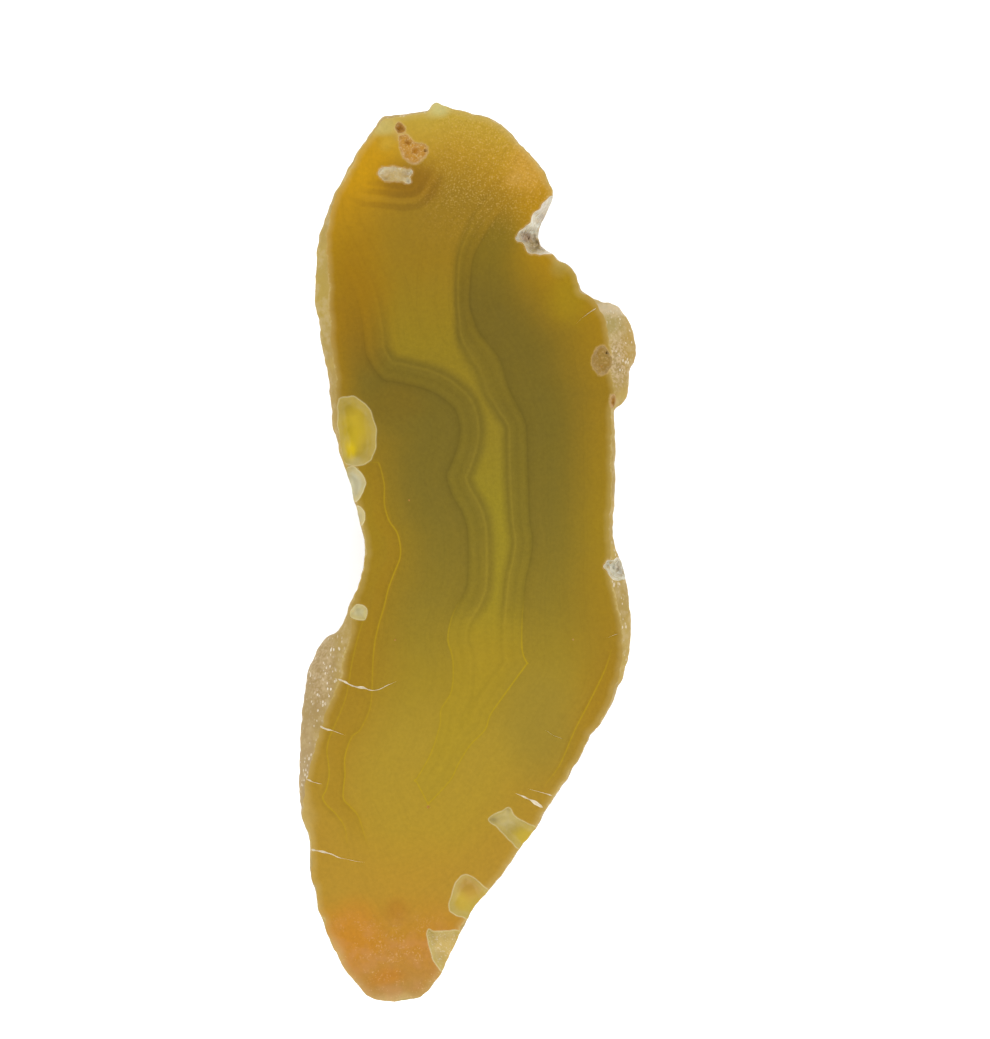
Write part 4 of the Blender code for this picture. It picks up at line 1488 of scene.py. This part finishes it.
def fresh_flake(look):
    """Broken chalcedony: pale at its rims, yellow where it is deep and clear, with painted light
    glowing in the floor of the left chip.
    """
    tree = Tree("fresh_flake")
    place = tree.millimetres()
    warped = tree.warped(place, 1.4, 0.6)
    colour = tree.mix(tree.noise(warped, 1.4, 2.0), look.flake, linear("b39b42"))
    colour = tree.stains(colour, warped, CHIP_STAINS)
    rim = tree.stored("flake_rim")
    fringe = tree.frayed(rim, tree.noise(place, 0.5), 0.4)
    colour = tree.mix(tree.span(fringe, 0.4, 0.9, 0.45, 0.0), colour, look.flake_rim)
    colour = tree.mix(tree.span(rim, 0.02, 0.1, 0.4, 0.0), colour, linear("e6dcb2"))
    specks = tree.span(tree.noise(place, 0.18, 2.0, 0.6), 0.55, 0.68, 0.0, 0.5)
    specks = tree.times(specks, tree.cover(place, SPECKLED_CHIPS))
    colour = tree.mix(specks, colour, linear("ece2c8"))
    tree.bump(tree.noise(place, 0.3, 3.0, 0.6), 0.05, 0.5)
    return tree.finish(colour, 0.3, 0.1)


def quartz_grains(look):
    """Quartz grains: white, cream and grey, each its own colour, with glassy faces."""
    tree = Tree("quartz_grains")
    place = tree.millimetres()
    grains = tree.cells(place, 0.32)
    tint = tree.node("SeparateColor", {0: grains["Color"]}).outputs[0]
    colour = tree.ramp(tint, [(share, linear(code)) for share, code in GRAIN_COLOURS])
    cloudy = tree.span(tree.noise(place, 1.0), 0.4, 0.65, 0.0, 0.5)
    colour = tree.mix(cloudy, colour, look.quartz)
    colour = tree.stains(colour, tree.warped(place, 0.8, 0.4), GRAIN_STAINS)
    tree.bump(grains["Distance"], 0.12, 0.8)
    return tree.finish(colour, 0.28, 0.1)


def lined_pit(look):
    """A pit: pale tan walls, amber and brown in its depth."""
    tree = Tree("lined_pit")
    place = tree.millimetres()
    _, _, z = tree.axes(place)
    pale = tree.span(tree.noise(place, 0.4, 3.0, 0.6), 0.4, 0.62)
    colour = tree.mix(tree.times(pale, 0.5), look.pit, linear("c6a468"))
    rim = tree.frayed(tree.stored("pit_rim"), pale, 0.1)
    colour = tree.mix(tree.span(rim, 0.08, 0.24, 0.6, 0.0), colour, linear("ccae7c"))
    colour = tree.stains(colour, place, GRAIN_STAINS)
    sugar = tree.span(tree.noise(place, 0.22, 3.0, 0.6), 0.5, 0.66, 0.0, 0.6)
    sugar = tree.times(sugar, tree.cover(place, SUGARED_PITS))
    colour = tree.mix(sugar, colour, linear("d4b478"))
    deep = tree.span(z, FACE_LEVEL - 0.38, FACE_LEVEL - 0.24, 0.9, 0.0)
    colour = tree.mix(deep, colour, linear("bd7f16"))
    tree.bump(tree.noise(place, 0.18, 3.0, 0.6), 0.04, 0.5)
    return tree.finish(colour, 0.3, 0.1)


def frosted_crack(look):
    """The white walls of a healed crack."""
    tree = Tree("frosted_crack")
    place = tree.millimetres()
    colour = tree.mix(tree.noise(place, 0.5), linear("f0e8d6"), linear("dccaa0"))
    tree.bump(tree.noise(place, 0.2, 2.0), 0.02, 0.5)
    return tree.finish(colour, 0.5, 0.1)


class AGATE_OT_stone(bpy.types.Operator):
    """Build the sawn nodule with its hollows, cracks and materials"""

    bl_idname = "agate.stone"
    bl_label = "Agate nodule"

    def execute(self, context):
        """Mesh the stone, give it its finishes, cut its hollows and set it on the root body in
        place of the imported solid.
        """
        shape = context.scene.agate_stone
        look = context.scene.agate_look
        stone = object_from(stone_mesh(shape), "sawn_nodule", context.scene.collection)
        finishes = {
            SAWN: sawn_agate, SKIN: natural_skin, FLAKE: fresh_flake, CRYSTALS: quartz_grains,
            PIT: lined_pit, FROST: frosted_crack,
        }
        for index in sorted(finishes):
            stone.data.materials.append(finishes[index](look))
        cut_hollows(stone, shape)
        measure_surface(stone, shape)
        stone.data.shade_smooth()
        stone.data.set_sharp_from_angle(angle=SHARP_ANGLE)
        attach(stone, "root")
        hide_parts("agate_nodule")
        return {"FINISHED"}


def matt_white(stage):
    """A plain pale floor, with a grain that barely shows."""
    tree = Tree("floor")
    grain = tree.noise(tree.millimetres(), 3.0, 3.0)
    shade = [share * 0.99 for share in stage.floor]
    for label, value in {
        "Base Color": tree.mix(grain, tuple(stage.floor), shade), "Roughness": 0.8,
        "Specular IOR Level": DULL_GLOSS,
    }.items():
        tree.plug(value, tree.shader.inputs[label])
    return tree.material


def round_floor(stage, scene):
    """A wide round floor under the stone."""
    mesh = bmesh.new()
    bmesh.ops.create_circle(mesh, cap_ends=True, segments=96, radius=stage.floor_radius)
    floor = object_from(mesh, "floor", scene.collection)
    floor.data.materials.append(matt_white(stage))


def ring_of_lamps(stage, scene):
    """Soft lamps in a ring, each turned to the stone."""
    for k in range(stage.lamp_count):
        turn = 2 * math.pi * (k + 0.5) / stage.lamp_count
        data = bpy.data.lights.new("lamp", "AREA")
        data.size = stage.lamp_size
        data.energy = stage.lamp_power
        lamp = bpy.data.objects.new("lamp", data)
        lamp.location = (
            stage.ring_radius * math.cos(turn), stage.ring_radius * math.sin(turn),
            stage.ring_height,
        )
        lamp.rotation_euler = lamp.location.to_track_quat("Z", "Y").to_euler()
        scene.collection.objects.link(lamp)


def soft_sky(stage, scene):
    """Light from all round, pale at the horizon and dimmer overhead."""
    world = bpy.data.worlds.new("studio")
    world.use_nodes = True
    nodes, links = world.node_tree.nodes, world.node_tree.links
    direction = nodes.new("ShaderNodeTexCoord")
    axes = nodes.new("ShaderNodeSeparateXYZ")
    fade = nodes.new("ShaderNodeMapRange")
    fade.interpolation_type = "SMOOTHSTEP"
    fade.inputs["From Min"].default_value = 0.12
    fade.inputs["From Max"].default_value = 0.75
    fade.inputs["To Min"].default_value = stage.horizon
    fade.inputs["To Max"].default_value = stage.sky
    links.new(direction.outputs["Generated"], axes.inputs[0])
    links.new(axes.outputs["Z"], fade.inputs["Value"])
    links.new(fade.outputs["Result"], nodes["Background"].inputs["Strength"])
    nodes["Background"].inputs["Color"].default_value = (1.0, 1.0, 1.0, 1.0)
    scene.world = world


def camera_above(stage, scene):
    """The camera, straight above the middle of the view and looking down."""
    data = bpy.data.cameras.new("camera")
    data.lens = stage.lens
    camera = bpy.data.objects.new("camera", data)
    distance = stage.frame_height * data.lens / data.sensor_width
    camera.location = Vector(stage.look_at) + Vector((0.0, 0.0, distance))
    scene.collection.objects.link(camera)
    scene.camera = camera


class AGATE_OT_stage(bpy.types.Operator):
    """Lay the floor, hang the soft lamps and set up the camera"""

    bl_idname = "agate.stage"
    bl_label = "Stage"

    def execute(self, context):
        """Set up all that stands round the stone."""
        for part in (round_floor, ring_of_lamps, soft_sky, camera_above):
            part(context.scene.agate_stage, context.scene)
        context.scene.view_settings.view_transform = "Standard"
        return {"FINISHED"}


class AGATE_PT_panel(bpy.types.Panel):
    """The agate's sizes, colours and stage"""

    bl_label = "Agate nodule"
    bl_idname = "AGATE_PT_panel"
    bl_space_type = "VIEW_3D"
    bl_region_type = "UI"
    bl_category = "Agate"

    def draw(self, context):
        """One box for each group of settings, with its operator below them."""
        for title, settings, operator in (
            ("Stone", context.scene.agate_stone, AGATE_OT_stone),
            ("Colours", context.scene.agate_look, None),
            ("Stage", context.scene.agate_stage, AGATE_OT_stage),
        ):
            box = self.layout.box()
            box.label(text=title)
            for name in settings.__annotations__:
                box.prop(settings, name)
            if operator:
                box.operator(operator.bl_idname)


SETTINGS = {
    "agate_stone": AgateStoneSettings, "agate_look": AgateLookSettings,
    "agate_stage": AgateStageSettings,
}
CLASSES = [*SETTINGS.values(), AGATE_OT_stone, AGATE_OT_stage, AGATE_PT_panel]


def register():
    """Register the classes and hang the settings on the scene."""
    for kind in CLASSES:
        bpy.utils.register_class(kind)
    for name, kind in SETTINGS.items():
        setattr(bpy.types.Scene, name, bpy.props.PointerProperty(type=kind))


def unregister():
    """Take the settings and classes away again."""
    for name in SETTINGS:
        delattr(bpy.types.Scene, name)
    for kind in reversed(CLASSES):
        bpy.utils.unregister_class(kind)


def main():
    """Build the stone and its stage."""
    register()
    bpy.ops.agate.stone()
    bpy.ops.agate.stage()


if __name__ == "__main__":
    main()
